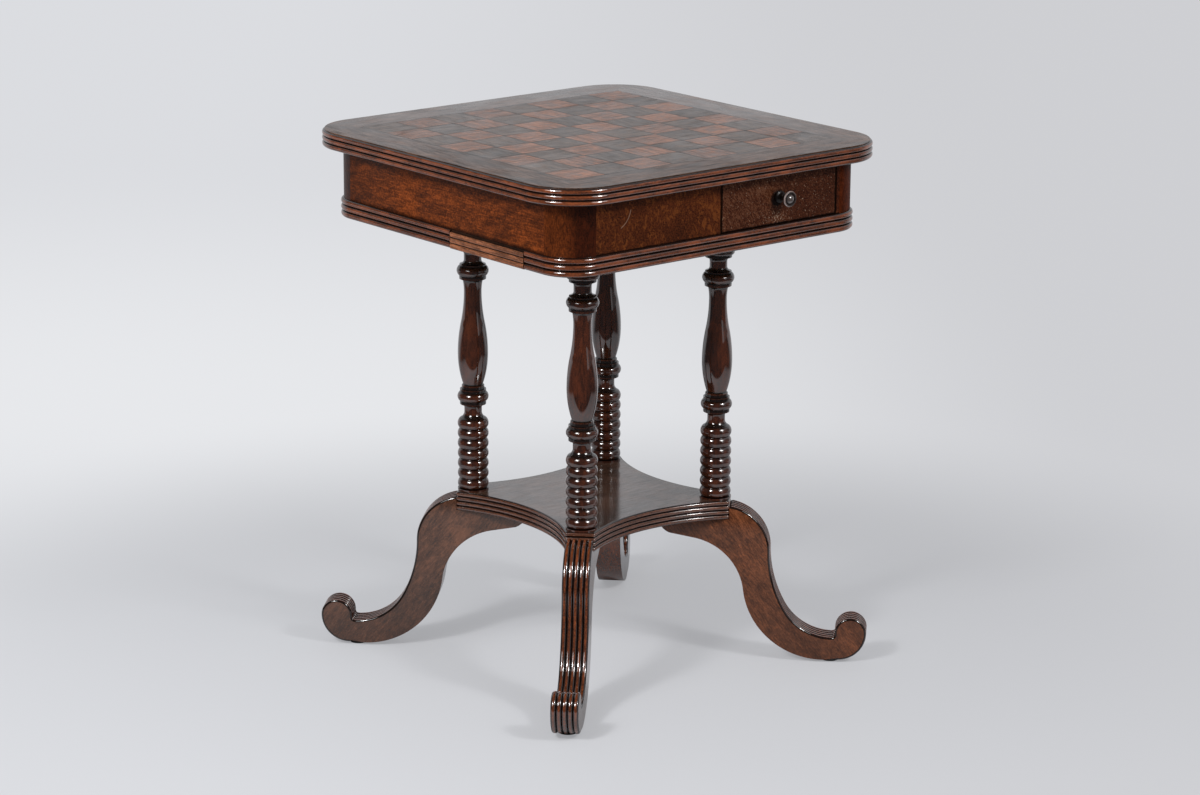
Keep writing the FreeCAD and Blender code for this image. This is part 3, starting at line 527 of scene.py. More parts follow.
def run_recipe(recipe, name, mesh, **values):
    """Runs a recipe on a mesh and returns an object with the plain result."""
    source = new_object(f"{name}_source", mesh)
    modifier = source.modifiers.new("recipe", "NODES")
    modifier.node_group = recipe.tree
    for item in recipe.tree.interface.items_tree:
        if item.in_out == "INPUT" and item.name in values:
            modifier[item.identifier] = values[item.name]
    bpy.context.view_layer.update()
    depsgraph = bpy.context.evaluated_depsgraph_get()
    result = bpy.data.meshes.new_from_object(
        source.evaluated_get(depsgraph), preserve_all_data_layers=True, depsgraph=depsgraph)
    result.name = name
    bpy.data.objects.remove(source)
    face_outwards(result)
    crisp_and_smooth(result)
    return new_object(name, result)


# %% The lathe
lathe, given = new_recipe("lathe", Segments="NodeSocketInt", Finish="NodeSocketMaterial")
profile = given["Geometry"]
rows = lathe.node("GeometryNodeAttributeDomainSize", {"component": "MESH"},
                  {"Geometry": profile})["Point Count"]
columns = given["Segments"] + 1
grid = lathe.node("GeometryNodeMeshGrid", inputs={"Vertices X": rows, "Vertices Y": columns})["Mesh"]
index = lathe.node("GeometryNodeInputIndex")["Index"]
row = (index / columns + 0.0001).floor()
angle = (index - row * columns) / given["Segments"] * math.tau
position = lathe.node("GeometryNodeInputPosition")["Position"]
spot = lathe.node("GeometryNodeSampleIndex", {"data_type": "FLOAT_VECTOR", "domain": "POINT"},
                  {"Geometry": profile, "Value": position, "Index": row})["Value"]
spot_parts = lathe.node("ShaderNodeSeparateXYZ", inputs={"Vector": spot})
hollow = lathe.node("GeometryNodeInputNamedAttribute", {"data_type": "FLOAT"},
                    {"Name": "hollow"})["Attribute"]
spot_hollow = lathe.node("GeometryNodeSampleIndex", {"data_type": "FLOAT", "domain": "POINT"},
                         {"Geometry": profile, "Value": hollow, "Index": row})["Value"]
around = lathe.node("ShaderNodeCombineXYZ", inputs={
    "X": spot_parts["X"] * angle.maths("COSINE", angle),
    "Y": spot_parts["X"] * angle.maths("SINE", angle), "Z": spot_parts["Z"]})["Vector"]
# The attribute is stored first: it is looked up by index, and the grid still has its own.
marked = lathe.node("GeometryNodeStoreNamedAttribute", {"data_type": "FLOAT", "domain": "POINT"},
                    {"Geometry": grid, "Name": "hollow", "Value": spot_hollow})["Geometry"]
turned = lathe.node("GeometryNodeSetPosition", inputs={
    "Geometry": marked, "Position": around})["Geometry"]
closed = lathe.node("GeometryNodeMergeByDistance", inputs={
    "Geometry": turned, "Distance": 0.00001})["Geometry"]
close_recipe(lathe, closed, given)

# %% The four corners
corners, given = new_recipe("four_corners", Reach="NodeSocketFloat", Finish="NodeSocketMaterial")
spots = corners.node("GeometryNodeMeshLine", {"mode": "OFFSET"}, {
    "Count": 4, "Offset": (0.0, 0.0, 0.0)})["Mesh"]
number = corners.node("GeometryNodeInputIndex")["Index"]
heading = number * (math.tau / 4) + math.tau / 8
spread = corners.node("ShaderNodeCombineXYZ", inputs={
    "X": given["Reach"] * heading.maths("COSINE", heading),
    "Y": given["Reach"] * heading.maths("SINE", heading)})["Vector"]
placed = corners.node("GeometryNodeSetPosition", inputs={
    "Geometry": spots, "Position": spread})["Geometry"]
facing = corners.node("ShaderNodeCombineXYZ", inputs={"Z": heading})["Vector"]
copies = corners.node("GeometryNodeInstanceOnPoints", inputs={
    "Points": placed, "Instance": given["Geometry"], "Rotation": facing})["Instances"]
numbered = corners.node("GeometryNodeStoreNamedAttribute", {"data_type": "FLOAT", "domain": "INSTANCE"},
                        {"Geometry": copies, "Name": "corner", "Value": number})["Geometry"]
close_recipe(corners, numbered, given)

# %% The moulding plane
plane, given = new_recipe("moulding_plane", Section="NodeSocketObject", Finish="NodeSocketMaterial")
section_mesh = plane.node("GeometryNodeObjectInfo", inputs={"Object": given["Section"]})["Geometry"]
section_line = plane.node("GeometryNodeMeshToCurve", inputs={"Mesh": section_mesh})["Curve"]
path_line = plane.node("GeometryNodeMeshToCurve", inputs={"Mesh": given["Geometry"]})["Curve"]
upright = plane.node("GeometryNodeSetCurveNormal", {"mode": "Z_UP"}, {"Curve": path_line})["Curve"]
swept = plane.node("GeometryNodeCurveToMesh", inputs={
    "Curve": upright, "Profile Curve": section_line, "Fill Caps": True})["Mesh"]
close_recipe(plane, swept, given)

# %% [markdown]
# ## Polished mahogany
# The frame of the table is mahogany under many layers of polish: dark red-brown, almost black in
# the valleys, where it carries dirt and painted shade, and orange-brown where hands and dusters
# have worn the crowns.  Long fibres and short dark pores run along the grain, and broad clouds
# change the tone.  The same recipe serves the turned, the reeded and the flat pieces.  A stain is
# a small function that adds what only one kind of piece shows: dust on the platform, legs darker
# near the floor, veneer that runs on.

# %% Mahogany
def mahogany(name, fibre_way, mean, figured=1.0, gloss=0.95, wear=0.5, polish=0.05,
             where=None, stain=None):
    """Polished mahogany.  fibre_way squeezes space along the grain; mean is its usual colour."""
    wood = Finish(name, Coat_Roughness=polish, Coat_IOR=1.9, Specular_IOR_Level=0.02)
    place = where(wood) if where else wood.place
    along = wood.scaled(place, fibre_way)
    half_way = wood.scaled(place, tuple(0.25 + 0.75 * way for way in fibre_way))
    clouds = wood.noise(half_way, 16.0, 3.0, 0.6, 0.8)
    figure = wood.noise(half_way, 90.0, 4.0, 0.65, 1.0)
    fibres = wood.noise(along, 520.0, 4.0, 0.7)
    speckle = wood.noise(place, 460.0, 3.0, 0.7)
    tone = wood.mixture((clouds, 0.8 * figured), (figure, 1.2 * figured), (fibres, 1.4), (speckle, 0.9))
    colour = wood.shades(tone, mean)
    pores = wood.soft_step(wood.noise(along, 1100.0, 2.0), 0.54, 0.66)
    colour = wood.blend(pores * 0.45, colour, (0.010, 0.004, 0.002))
    worn = wood.soft_step(wood.noise(half_way, 60.0, 4.0, 0.7, seed=1.0), 0.48, 0.64)
    colour = wood.blend(worn * wear, colour, tuple(min(channel * 2.2, 0.5) for channel in mean))
    if stain:
        colour, gloss = stain(wood, colour, tone, gloss)
    # The valleys are darkened almost to black, partly as dirt and partly as painted shade.
    valley_dirt_and_shade = wood.soft_step(wood.attribute("hollow") + (clouds - 0.5) * 0.06, 0.015, 0.11)
    colour = wood.blend(valley_dirt_and_shade * 0.94, colour, (0.0045, 0.0025, 0.0018))
    nicks = wood.soft_step(wood.noise(place, 330.0, 2.0, 0.6, seed=2.0), 0.76, 0.80) * (1 - valley_dirt_and_shade)
    colour = wood.blend(nicks * 0.6, colour, (0.40, 0.27, 0.18))
    smear = wood.noise(place, 34.0, 4.0, 0.6, seed=3.0)
    return wood.complete(colour, 0.40 + smear * 0.2 + valley_dirt_and_shade * 0.2,
                         gloss * (1.12 - smear * 0.24 - valley_dirt_and_shade * 0.25),
                         wood.mixture((fibres, 0.5), (pores, -0.5), (smear, 0.9)), 0.12)

# %% Veneer on the posts, dust on the platform
ALONG_X, ALONG_Y, ALONG_Z = (0.07, 1.0, 1.0), (1.0, 0.07, 1.0), (1.0, 1.0, 0.07)
ALL_ROUND = (0.09, 0.09, 1.0)
platform_top = 0.224


def wrapped_veneer(wood, colour, tone, gloss):
    """The side's orange veneer runs on round a front post, and fades into the dark post.

    The right front post is redder and duller, like the stile beside it.
    """
    x, y, z = wood.parts(wood.place)
    front = 1 - wood.soft_step(y, -0.2, 0.0)
    onto_post = front * wood.soft_step(x.size(), 0.226, 0.2495)
    colour = wood.blend(onto_post, colour, wood.shades(tone, (0.094, 0.0205, 0.0037)))
    redder = front * x.above(0.0)
    colour = wood.blend(redder, colour, wood.shades(tone, (0.056, 0.0105, 0.0026)))
    return colour, gloss * (1 - redder * 0.88)


def dusty_top(wood, colour, tone, gloss):
    """Dust greys the platform's top.  Its reeded edge keeps the brown of the wood."""
    x, y, z = wood.parts(wood.place)
    edge = 1 - wood.soft_step(z, platform_top - 0.0004, platform_top - 0.0001)
    gloss = gloss * (1 - wood.soft_step(x * 0.77 - y * 0.63, 0.0, 0.12) * 0.18)
    streaks = wood.noise(wood.scaled(wood.place, ALONG_X), 420.0, 4.0, 0.75)
    gloss = gloss - (0.58 - streaks).most(0.0) * (1 - edge) * 1.1
    return wood.blend(edge, colour, wood.shades(tone, (0.092, 0.0320, 0.0155))), gloss

# %% The legs' planks and reeds
leg_half_thickness = 0.018


def leg_plank(wood):
    """Legs are sawn from planks: their own coordinates, moved on for each corner."""
    own = wood.attribute("plank", "Vector")
    shift = wood.attribute("corner")
    return wood.vector_maths("ADD", own, wood.joined(shift * 0.7, shift * 0.31, shift * 0.11))


def dark_reeds(wood, colour, tone, gloss):
    """The reeded edge of a leg is darker and glossier than its flat sides.

    The legs are counted from the back right one, turning left.  The front right one is redder
    and duller, the back right one darker.  The two that point to the camera and away from it
    shine along their right side.
    """
    thickness_way = wood.parts(wood.attribute("plank", "Vector"))[2]
    flat = leg_half_thickness - 0.0001
    edge = 1 - wood.soft_step(thickness_way.size(), flat - 0.0005, flat)
    leg = wood.attribute("corner")
    front_right, back_right = leg.above(2.5), 1 - leg.above(0.5)
    front_left = leg.above(1.5) - front_right
    colour = wood.blend(front_right * 0.6, colour, wood.shades(tone, (0.125, 0.0360, 0.0120)))
    x, y, height = wood.parts(wood.place)
    # The legs are darker towards the floor, and the back right leg is darker all over.
    darkening = ((1 - wood.soft_step(height, 0.02, 0.15)) * 0.35).most(back_right * 0.6)
    colour = wood.blend(darkening, colour, (0.022, 0.0120, 0.0090))
    reeds = wood.shades(tone, (0.125, 0.0290, 0.0075))
    # Below their crowns the reeds are darkened as dirt and painted shade.
    flank_dirt_and_shade = wood.soft_step(wood.attribute("hollow"), 0.0, 0.05)
    reeds = wood.blend(flank_dirt_and_shade * 0.55, reeds, (0.014, 0.0060, 0.0040))
    shining_side = (front_left + back_right) * (x - y).above(0.0)
    side_gloss = 0.55 - front_right * 0.27 + shining_side * 0.45
    return wood.blend(edge * 0.8, colour, reeds), gloss * (side_gloss + edge * (1.0 - side_gloss))

# %% Six kinds of mahogany
turned_wood = mahogany("mahogany_turned", ALONG_Z, (0.037, 0.0082, 0.0024), gloss=1.0, wear=0.6)
edge_wood = mahogany("mahogany_edge", ALL_ROUND, (0.102, 0.0260, 0.0082), figured=0.7, wear=0.7)
platform_wood = mahogany("mahogany_platform", ALL_ROUND, (0.052, 0.0270, 0.0175), figured=0.25,
                         gloss=1.0, wear=0.15, polish=0.13, stain=dusty_top)
leg_wood = mahogany("mahogany_leg", (0.2, 1.0, 1.0), (0.078, 0.0305, 0.0152), figured=0.75,
                    gloss=1.0, wear=0.45, where=leg_plank, stain=dark_reeds)
post_wood = mahogany("mahogany_post", (1.0, 1.0, 0.3), (0.0250, 0.0046, 0.0011), figured=0.6,
                     gloss=0.26, stain=wrapped_veneer)
patch_wood = mahogany("mahogany_patch", ALONG_Y, (0.190, 0.0680, 0.0300), gloss=0.5, wear=0.6)

# %% [markdown]
# ## Veneers of the frieze
# The sides and the back carry a flame veneer: an orange-brown sheet, mottled across the grain,
# with painted shade under the top and near the corners.  The front, with the drawer, is cut from
# a burr, which shows as a dark ground full of small pale flecks.  Both are thin sheets on plain
# boards, so they are patterns on the flat faces of the boards and need no shape of their own.

# %% Flame veneer
frieze_low, frieze_high = 0.6255, 0.6935
OPEN = 1.0  # an edge this far out never shows


def edge_dirt_and_shade(wood, along, up, box, width):
    """A mask that rises to 1 at the four edges of a flat face, for dirt and painted shade."""
    left, right, low, high = box
    nearest = (along - left).least(right - along).least((up - low).least(high - up))
    return 1 - wood.soft_step(nearest + (wood.noise(wood.place, 200.0) - 0.5) * width, 0.0, width)


def flame_veneer(name, fibre_way, mean):
    wood = Finish(name, Coat_Roughness=0.12, Coat_IOR=1.5, Specular_IOR_Level=0.02)
    x, y, z = wood.parts(wood.place)
    along = wood.scaled(wood.place, fibre_way)
    sloping = wood.joined(x, y + z * 1.1, z)
    clouds = wood.noise(wood.scaled(wood.place, (0.8, 0.8, 1.4)), 10.0, 3.0, 0.55, 0.6)
    curl = wood.noise(wood.scaled(sloping, (1.0, 0.5, 1.0)), 95.0, 4.0, 0.7, 1.0)
    fibres = wood.noise(along, 560.0, 4.0, 0.7)
    speckle = wood.noise(wood.place, 480.0, 3.0, 0.7)
    tone = wood.mixture((clouds, 0.7), (curl, 1.2), (fibres, 1.3), (speckle, 1.7))
    colour = wood.shades(tone, mean)
    pores = wood.soft_step(wood.noise(along, 1300.0, 2.0), 0.54, 0.68)
    colour = wood.blend(pores * 0.4, colour, (0.016, 0.005, 0.002))
    specks = wood.soft_step(wood.noise(wood.place, 300.0, 2.0, 0.6, seed=3.0), 0.77, 0.80)
    colour = wood.blend(specks * 0.5, colour, (0.45, 0.32, 0.22))
    # Dirt and painted shade darken the edges.  A painted shadow lies under the top's overhang, and
    # painted shade darkens the back and front ends.
    darkening = edge_dirt_and_shade(wood, x, z, (-OPEN, OPEN, frieze_low, frieze_high - 0.001), 0.005)
    shadow_under_top = wood.soft_step(z + (clouds - 0.5) * 0.03, 0.655, 0.700) * 0.45
    at_back = wood.soft_step(y + (clouds - 0.5) * 0.1, 0.10, 0.21) * 0.4
    at_front = wood.soft_step(-0.08 - y, 0.0, 0.12) * 0.15
    painted_shade = shadow_under_top.most(at_back).most(at_front)
    colour = wood.blend((darkening * 0.75).most(painted_shade), colour, (0.010, 0.003, 0.0015))
    dull = clouds * 0.4 + darkening * 0.2 + wood.soft_step(y, -0.15, 0.10) * 0.14
    return wood.complete(colour, 0.42 + curl * 0.2, 0.60 - dull,
                         wood.mixture((fibres, 0.4), (pores, -0.5), (clouds, 0.8)), 0.10)


flame_side = flame_veneer("veneer_flame_side", ALONG_Y, (0.112, 0.0245, 0.0046))
flame_back = flame_veneer("veneer_flame_back", ALONG_X, (0.112, 0.0285, 0.0080))

# %% Burr veneer
front_face = -0.251


def burr_veneer(name, ground, fleck, size, lean, share, box, seed, cloudy=1.2, marks=None):
    """A ground under small flecks; share is how much they cover and lean is how they slope."""
    wood = Finish(name, Coat_Roughness=0.12, Coat_IOR=1.5, Specular_IOR_Level=0.02)
    x, y, z = wood.parts(wood.place)
    clouds = wood.noise(wood.place, 14.0, 3.0, 0.55, 0.5, seed)
    worms = wood.noise(wood.joined(x + z * lean, y, z * 0.5), size, 3.0, 0.65, 1.2, seed)
    grit = wood.noise(wood.place, 640.0, 3.0, 0.7, seed=seed)
    colour = wood.shades(wood.mixture((clouds, cloudy), (grit, 2.2)), ground)
    flecks = wood.mixture((worms, 1.0), (clouds, 0.5), (grit, 0.4))
    colour = wood.blend(wood.soft_step(flecks, 0.57 - share, 0.66 - share) * 0.9, colour, fleck)
    colour = wood.blend(wood.soft_step(grit, 0.55, 0.68) * 0.4, colour, (0.014, 0.005, 0.002))
    if marks:
        colour = marks(wood, colour, x, z)
    # Dirt and painted shadow darken the edges, most of all in the gaps round the drawer.
    darkening = edge_dirt_and_shade(wood, x, z, box, 0.0022)
    colour = wood.blend(darkening * 0.95, colour, (0.003, 0.0015, 0.001))
    # The sheet is thin.  Behind it, the board's own wood shows on the edges.
    board = wood.shades(wood.mixture((clouds, 1.0), (grit, 1.2)), (0.110, 0.0480, 0.0220))
    colour = wood.blend(wood.soft_step(y, front_face + 0.0006, front_face + 0.0010), colour, board)
    return wood.complete(colour, 0.42 + worms * 0.2, 0.75 - clouds * 0.4 - darkening * 0.5,
                         wood.mixture((worms, 0.3), (clouds, 0.8)), 0.10)

# %% A scratch, knocks and a painted shadow round the knob
knob_x, knob_y, knob_z = 0.0995, -0.233, 0.661
PALE_MARK = (0.30, 0.20, 0.14)


def away_from(x, z, centre_x, centre_z):
    return ((x - centre_x) ** 2 + (z - centre_z) ** 2) ** 0.5


def scratch(wood, colour, x, z):
    """One old scratch, a short piece of a circle."""
    radius = 0.0299
    off_line = (away_from(x, z, -0.1791, 0.6818) - radius).size()
    between_ends = (x + 0.1655).above(0.0) * (0.6768 - z).above(0.0)
    line = (1 - wood.soft_step(off_line, 0.0002, 0.0009)) * between_ends
    return wood.blend(line * 0.5, colour, PALE_MARK)


def knocks_and_knob_shadow(wood, colour, x, z):
    """Small pale dents where fingers miss the knob, and a painted shadow of the knob round its foot."""
    away = ((x - 0.096) / 0.030) ** 2 + ((z - 0.6340) / 0.0115) ** 2
    dents = wood.noise(wood.place, 520.0, 1.0, seed=7.0) + (1 - away).most(0.0) * 0.11
    colour = wood.blend(wood.soft_step(dents, 0.68, 0.73) * 0.75, colour, PALE_MARK)
    # The knob's shadow is painted on the drawer, a little left of and below its foot.
    from_foot = away_from(x, z, knob_x - 0.0045, knob_z - 0.0020)
    painted_knob_shadow = 1 - wood.soft_step(from_foot, 0.0080, 0.0125)
    return wood.blend(painted_knob_shadow * 0.92, colour, (0.002, 0.001, 0.001))

# %% Three pieces of burr
burr_panel = burr_veneer(
    "veneer_burr_panel", (0.058, 0.0134, 0.0034), (0.130, 0.0355, 0.0076), size=210.0, lean=0.15,
    share=0.04, box=(-OPEN, -0.0004, frieze_low, frieze_high), seed=0.0, cloudy=0.8, marks=scratch)
burr_drawer = burr_veneer(
    "veneer_burr_drawer", (0.046, 0.0123, 0.0048), (0.110, 0.0420, 0.0205), size=380.0, lean=0.7,
    share=0.05, box=(0.0014, 0.1976, 0.6266, 0.6936), seed=6.0, cloudy=0.4, marks=knocks_and_knob_shadow)
burr_stile = burr_veneer(
    "veneer_burr_stile", (0.046, 0.0095, 0.0028), (0.085, 0.0220, 0.0060), size=230.0, lean=0.1,
    share=0.02, box=(0.1993, OPEN, frieze_low, frieze_high), seed=2.0)

# %% [markdown]
# ## The inlaid board
# Sixty-four squares of veneer, half pale and half stained grey, lie in a wide border that is
# mitred at the corners.  Each square was cut from another part of the sheet and turned at the
# cutter's whim.  The pattern does the same: it finds out which square it is in, draws a random
# number for it, and uses that to shift the wood, turn its grain and vary its tone.  The joints
# are thin dark lines of old glue.

# %% Board veneers
square = 0.055
half_board = 4 * square


def ink_spots(wood, colour, scale, start, seed):
    spots = wood.soft_step(wood.noise(wood.place, scale, 1.0, seed=seed), start, 0.81)
    return wood.blend(spots * 0.85, colour, (0.010, 0.008, 0.007))


def old_polish(wood, colour, fibres, clouds, smears, coat, relief, strength):
    """Polish that has gone dull in smears and lies thicker on some fibres than on others."""
    smear = wood.noise(wood.place, smears, 4.0, 0.65)
    coat = coat - smear * 0.4 - (clouds - 0.5) * 0.6 + (fibres - 0.5) * 1.2
    return wood.complete(colour, 0.42 + smear * 0.2, coat, relief, strength)


def board_veneer(name, mean, seed):
    wood = Finish(name, Coat_Roughness=0.16, Coat_IOR=1.5, Specular_IOR_Level=0.20)
    x, y, z = wood.parts(wood.place)
    across, along = x / square + 20.0, y / square + 20.0
    lottery = wood.node("ShaderNodeTexWhiteNoise", {"noise_dimensions": "3D"},
                        {"Vector": wood.joined(across.floor(), along.floor(), seed)})
    shift, turn_grain, tone_shift = wood.parts(lottery["Color"])
    moved = wood.joined(x + shift * 3.0, y + tone_shift * 3.0, z)
    crosswise = turn_grain.above(0.7)
    lengthwise_fibres = wood.noise(wood.scaled(moved, ALONG_X), 480.0, 4.0, 0.75)
    crosswise_fibres = wood.noise(wood.scaled(moved, ALONG_Y), 480.0, 4.0, 0.75)
    fibres = lengthwise_fibres * (1 - crosswise) + crosswise_fibres * crosswise
    clouds = wood.noise(moved, 60.0, 4.0, 0.7, 0.6)
    stains = wood.noise(wood.place, 6.0, 4.0, 0.6)
    tone = wood.mixture((fibres, 3.2), (clouds, 1.5), (tone_shift, 0.25), (stains, 0.4))
    colour = wood.shades(tone, mean, 0.8)
    near_joint = (across.fraction() - 0.5).size().most((along.fraction() - 0.5).size())
    joint = wood.soft_step(near_joint + (wood.noise(wood.place, 300.0) - 0.5) * 0.014, 0.477, 0.4925)
    colour = wood.blend(joint * 0.9, colour, (0.006, 0.004, 0.003))
    colour = ink_spots(wood, colour, 95.0, 0.78, 2.0)
    return old_polish(wood, colour, fibres, clouds, 16.0, 0.60 - joint * 0.35,
                      wood.mixture((fibres, 0.8), (joint, -0.6), (clouds, 0.6)), 0.16)


light_square_wood = board_veneer("veneer_light_squares", (0.146, 0.0510, 0.0190), 1.0)
dark_square_wood = board_veneer("veneer_dark_squares", (0.054, 0.0300, 0.0180), 2.0)

# %% Border veneer
def border_veneer(name, fibre_way):
    wood = Finish(name, Coat_Roughness=0.16, Coat_IOR=1.5, Specular_IOR_Level=0.20)
    half_way = wood.scaled(wood.place, tuple(0.2 + 0.8 * way for way in fibre_way))
    clouds = wood.noise(half_way, 40.0, 4.0, 0.7, 0.6)
    fibres = wood.noise(wood.scaled(wood.place, fibre_way), 380.0, 4.0, 0.75)
    colour = wood.shades(wood.mixture((fibres, 3.0), (clouds, 1.8)), (0.058, 0.0270, 0.0140), 0.9)
    colour = ink_spots(wood, colour, 70.0, 0.79, 4.0)
    x, y, z = wood.parts(wood.place)
    to_squares = x.size().most(y.size()) - (half_board + 0.0001)
    joint = 1 - wood.soft_step(to_squares, 0.0001, 0.0009)
    colour = wood.blend(joint * 0.85, colour, (0.008, 0.006, 0.004))
    rubbed_and_sheen = wood.soft_step(x * 0.64 + y * 0.77, -0.20, 0.25)
    return old_polish(wood, colour, fibres, clouds, 13.0, 0.50 + rubbed_and_sheen * 0.44,
                      wood.mixture((fibres, 0.8), (clouds, 0.6)), 0.14)


border_lengthwise = border_veneer("veneer_border_lengthwise", ALONG_X)
border_crosswise = border_veneer("veneer_border_crosswise", ALONG_Y)

# %% [markdown]
# ## What is seldom seen
# Inside, a maker saves on wood and polish.  Guides and drawer sides are plain pale wood, planed
# and left bare, with some dust, and the board under the frieze is the same bare wood stained
# dark.  The screws are dull steel and the pads under the feet dark leather.

# %% Plain wood, steel and leather
def bare_wood(name, fibre_way, stain=0.0):
    wood = Finish(name, Specular_IOR_Level=0.3)
    fibres = wood.noise(wood.scaled(wood.place, fibre_way), 300.0, 4.0, 0.6)
    rings = wood.noise(wood.scaled(wood.place, fibre_way), 60.0, 2.0, 0.5, 1.0)
    pale = wood.ramp(fibres * 0.5 + rings * 0.5, (0.3, (0.22, 0.125, 0.060)),
                     (0.55, (0.36, 0.225, 0.115)), (0.8, (0.47, 0.32, 0.18)))
    colour = wood.blend(stain, pale, (0.045, 0.020, 0.010))
    dust = wood.soft_step(wood.noise(wood.place, 25.0, 4.0), 0.55, 0.8)
    colour = wood.blend(dust * 0.25, colour, (0.16, 0.13, 0.10))
    return wood.complete(colour, 0.62 + fibres * 0.2, None, fibres, 0.3, 0.0008)


bare_lengthwise = bare_wood("bare_wood_lengthwise", ALONG_X)
bare_crosswise = bare_wood("bare_wood_crosswise", ALONG_Y)
underside_wood = bare_wood("stained_underside", ALONG_X, stain=0.8)

steel = Finish("screw_steel", Metallic=1.0)
patchy = steel.ramp(steel.noise(steel.place, 900.0, 3.0), (0.3, (0.20, 0.18, 0.16)),
                    (0.7, (0.48, 0.46, 0.43)))
steel.shader.feed("Base Color", patchy)
steel.shader.feed("Roughness", 0.35 + steel.noise(steel.place, 400.0) * 0.3)

leather = Finish("pad_leather", Specular_IOR_Level=0.3)
pebbles = leather.noise(leather.place, 900.0, 2.0)
hide = leather.ramp(pebbles, (0.3, (0.008, 0.006, 0.005)), (0.7, (0.030, 0.022, 0.018)))
leather.complete(hide, 0.6 + pebbles * 0.25, None, pebbles, 0.5)

# %% Dressing the solids
corner_names = ("front_left", "front_right", "back_right", "back_left")


def dress(finish, *nodes):
    """Gives solids of the frame a finish and leaves their shape alone."""
    for node in nodes:
        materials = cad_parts[node].data.materials
        materials.clear()
        materials.append(finish.material)
    print(finish.material.name, "on", len(nodes), "nodes")


def both_sides(*pieces):
    return [f"{piece}_{side}" for piece in pieces for side in ("left", "right")]


dress(light_square_wood, "light_squares")
dress(dark_square_wood, "dark_squares")
dress(border_lengthwise, "border_front", "border_back")
dress(border_crosswise, *both_sides("border"))
dress(flame_side, *both_sides("frieze"))
dress(flame_back, "frieze_back")
dress(burr_panel, "frieze_front")
dress(burr_stile, "drawer_stile")
dress(burr_drawer, "drawer_front")
dress(bare_lengthwise, "drawer_back", "drawer_bottom", "drawer_stops", "glue_blocks")
dress(bare_crosswise, *both_sides("drawer_side", "drawer_guide", "drawer_kicker"))
dress(underside_wood, "base_board")
dress(steel, "base_screws", "leg_screws")
dress(leather, *(f"foot_pad_{corner}" for corner in corner_names))

# %% [markdown]
# ## Top board and platform
# Both boards carry reeds round their edge: three on the top, four on the platform.  Reeds are
# small half-round ribs side by side, worked in the solid wood.  A slab built as a stack of
# outlines gives them true roundness, and the outline only moves inwards from level to level.
# The solid's edge is faceted, so this smooth one stands for it.

# %% Top board
corner_centre = 0.205


def rounded_square(radius, steps=20):
    """Points and outward directions round a square with the table's shared corner centres."""
    outline = []
    for quarter in range(4):
        centre = spoke(45 + 90 * quarter) * corner_centre * math.sqrt(2)
        for step in range(steps + 1):
            outward = spoke(90 * quarter + 90 * step / steps)
            outline.append((centre + outward * radius, outward))
    return outline


top_board = slab("top_board_reeded", rounded_square(radius=0.074),
                 reed_section(low=0.695, pitch=0.0072, count=3, depth=0.0035))
ride_on(top_board, "table", "mahogany", edge_wood, "top_board")

# %% Platform
# The clipped corners stand on the diagonals.  A side is one arc, nearest the axis at the waist.
platform_corner, corner_round, waist = 0.185, 0.0036, 0.114
side_half_chord, side_end = 0.165 * math.sqrt(0.5), 0.205 * math.sqrt(0.5)
side_radius = (side_half_chord ** 2 + (side_end - waist) ** 2) / (2 * (side_end - waist))


def platform_outline(corner_steps=6, side_steps=20):
    """Hollow sides and clipped corners, drawn for one corner on +X and then turned."""
    centre = spoke(45) * (waist + side_radius)
    turning_x = platform_corner - corner_round
    to_turning = math.sqrt((side_radius + corner_round) ** 2 - (centre.x - turning_x) ** 2)
    turning = Vector((turning_x, centre.y - to_turning))
    meet = math.degrees((centre - turning).angle_signed(Vector((1, 0))))
    upper = []
    for step in range(corner_steps + 1):
        outward = spoke(meet * step / corner_steps)
        upper.append((turning + outward * corner_round, outward))
    for step in range(1, side_steps + 1):
        inward = spoke(meet + 180 + (45 - meet) * step / side_steps)
        upper.append((centre + inward * side_radius, -inward))
    flip = Matrix(((1, 0), (0, -1)))
    lower = [(flip @ point, flip @ outward) for point, outward in reversed(upper)]
    outline = []
    for quarter in range(4):
        turned_by = Matrix.Rotation(math.radians(45 + 90 * quarter), 2)
        outline += [(turned_by @ point, turned_by @ outward) for point, outward in (lower + upper)[:-1]]
    return outline


platform = slab("platform_reeded", platform_outline(),
                reed_section(low=0.198, pitch=0.0065, count=4, depth=0.00315))
ride_on(platform, "table", "mahogany", platform_wood, "platform")

# %% [markdown]
# ## Lower moulding
# The moulding under the frieze is made in lengths, with three reeds, and mitred on the corners.
# On the left side one length is an old repair: its reeds are shallower and paler than the rest.
# The moulding plane recipe runs one section along a path for each length.

# %% Lower moulding
moulding_low, moulding_height, moulding_back = 0.600, 0.025, 0.008


def section_object(name, reeds):
    """The moulding's section.  On a path, x points out of the face and y points down."""
    outline = reeds + [(moulding_back, moulding_height, 0.0), (moulding_back, 0.0, 0.0)]
    edges = [(i, (i + 1) % len(outline)) for i in range(len(outline))]
    mesh = mesh_from(name, [(-inset, -level, 0.0) for inset, level, _ in outline], [], edges,
                     hollow=[hollow for _, _, hollow in outline])
    return new_object(name, mesh)


full_section = section_object(
    "section_full", reed_section(low=0.0, pitch=moulding_height / 3, count=3, depth=0.0040))
worn_reeds = [(inset, level, hollow * 0.3) for inset, level, hollow in
              reed_section(low=0.0, pitch=0.0074, count=3, depth=0.0018)]
# The recessed flat above the worn reeds gets a hollow of 0.5, so it is painted dark as shade.
flat_above = [(0.0030, 0.0226, 0.5), (0.0034, 0.0247, 0.5)]
worn_section = section_object("section_worn", worn_reeds + flat_above)


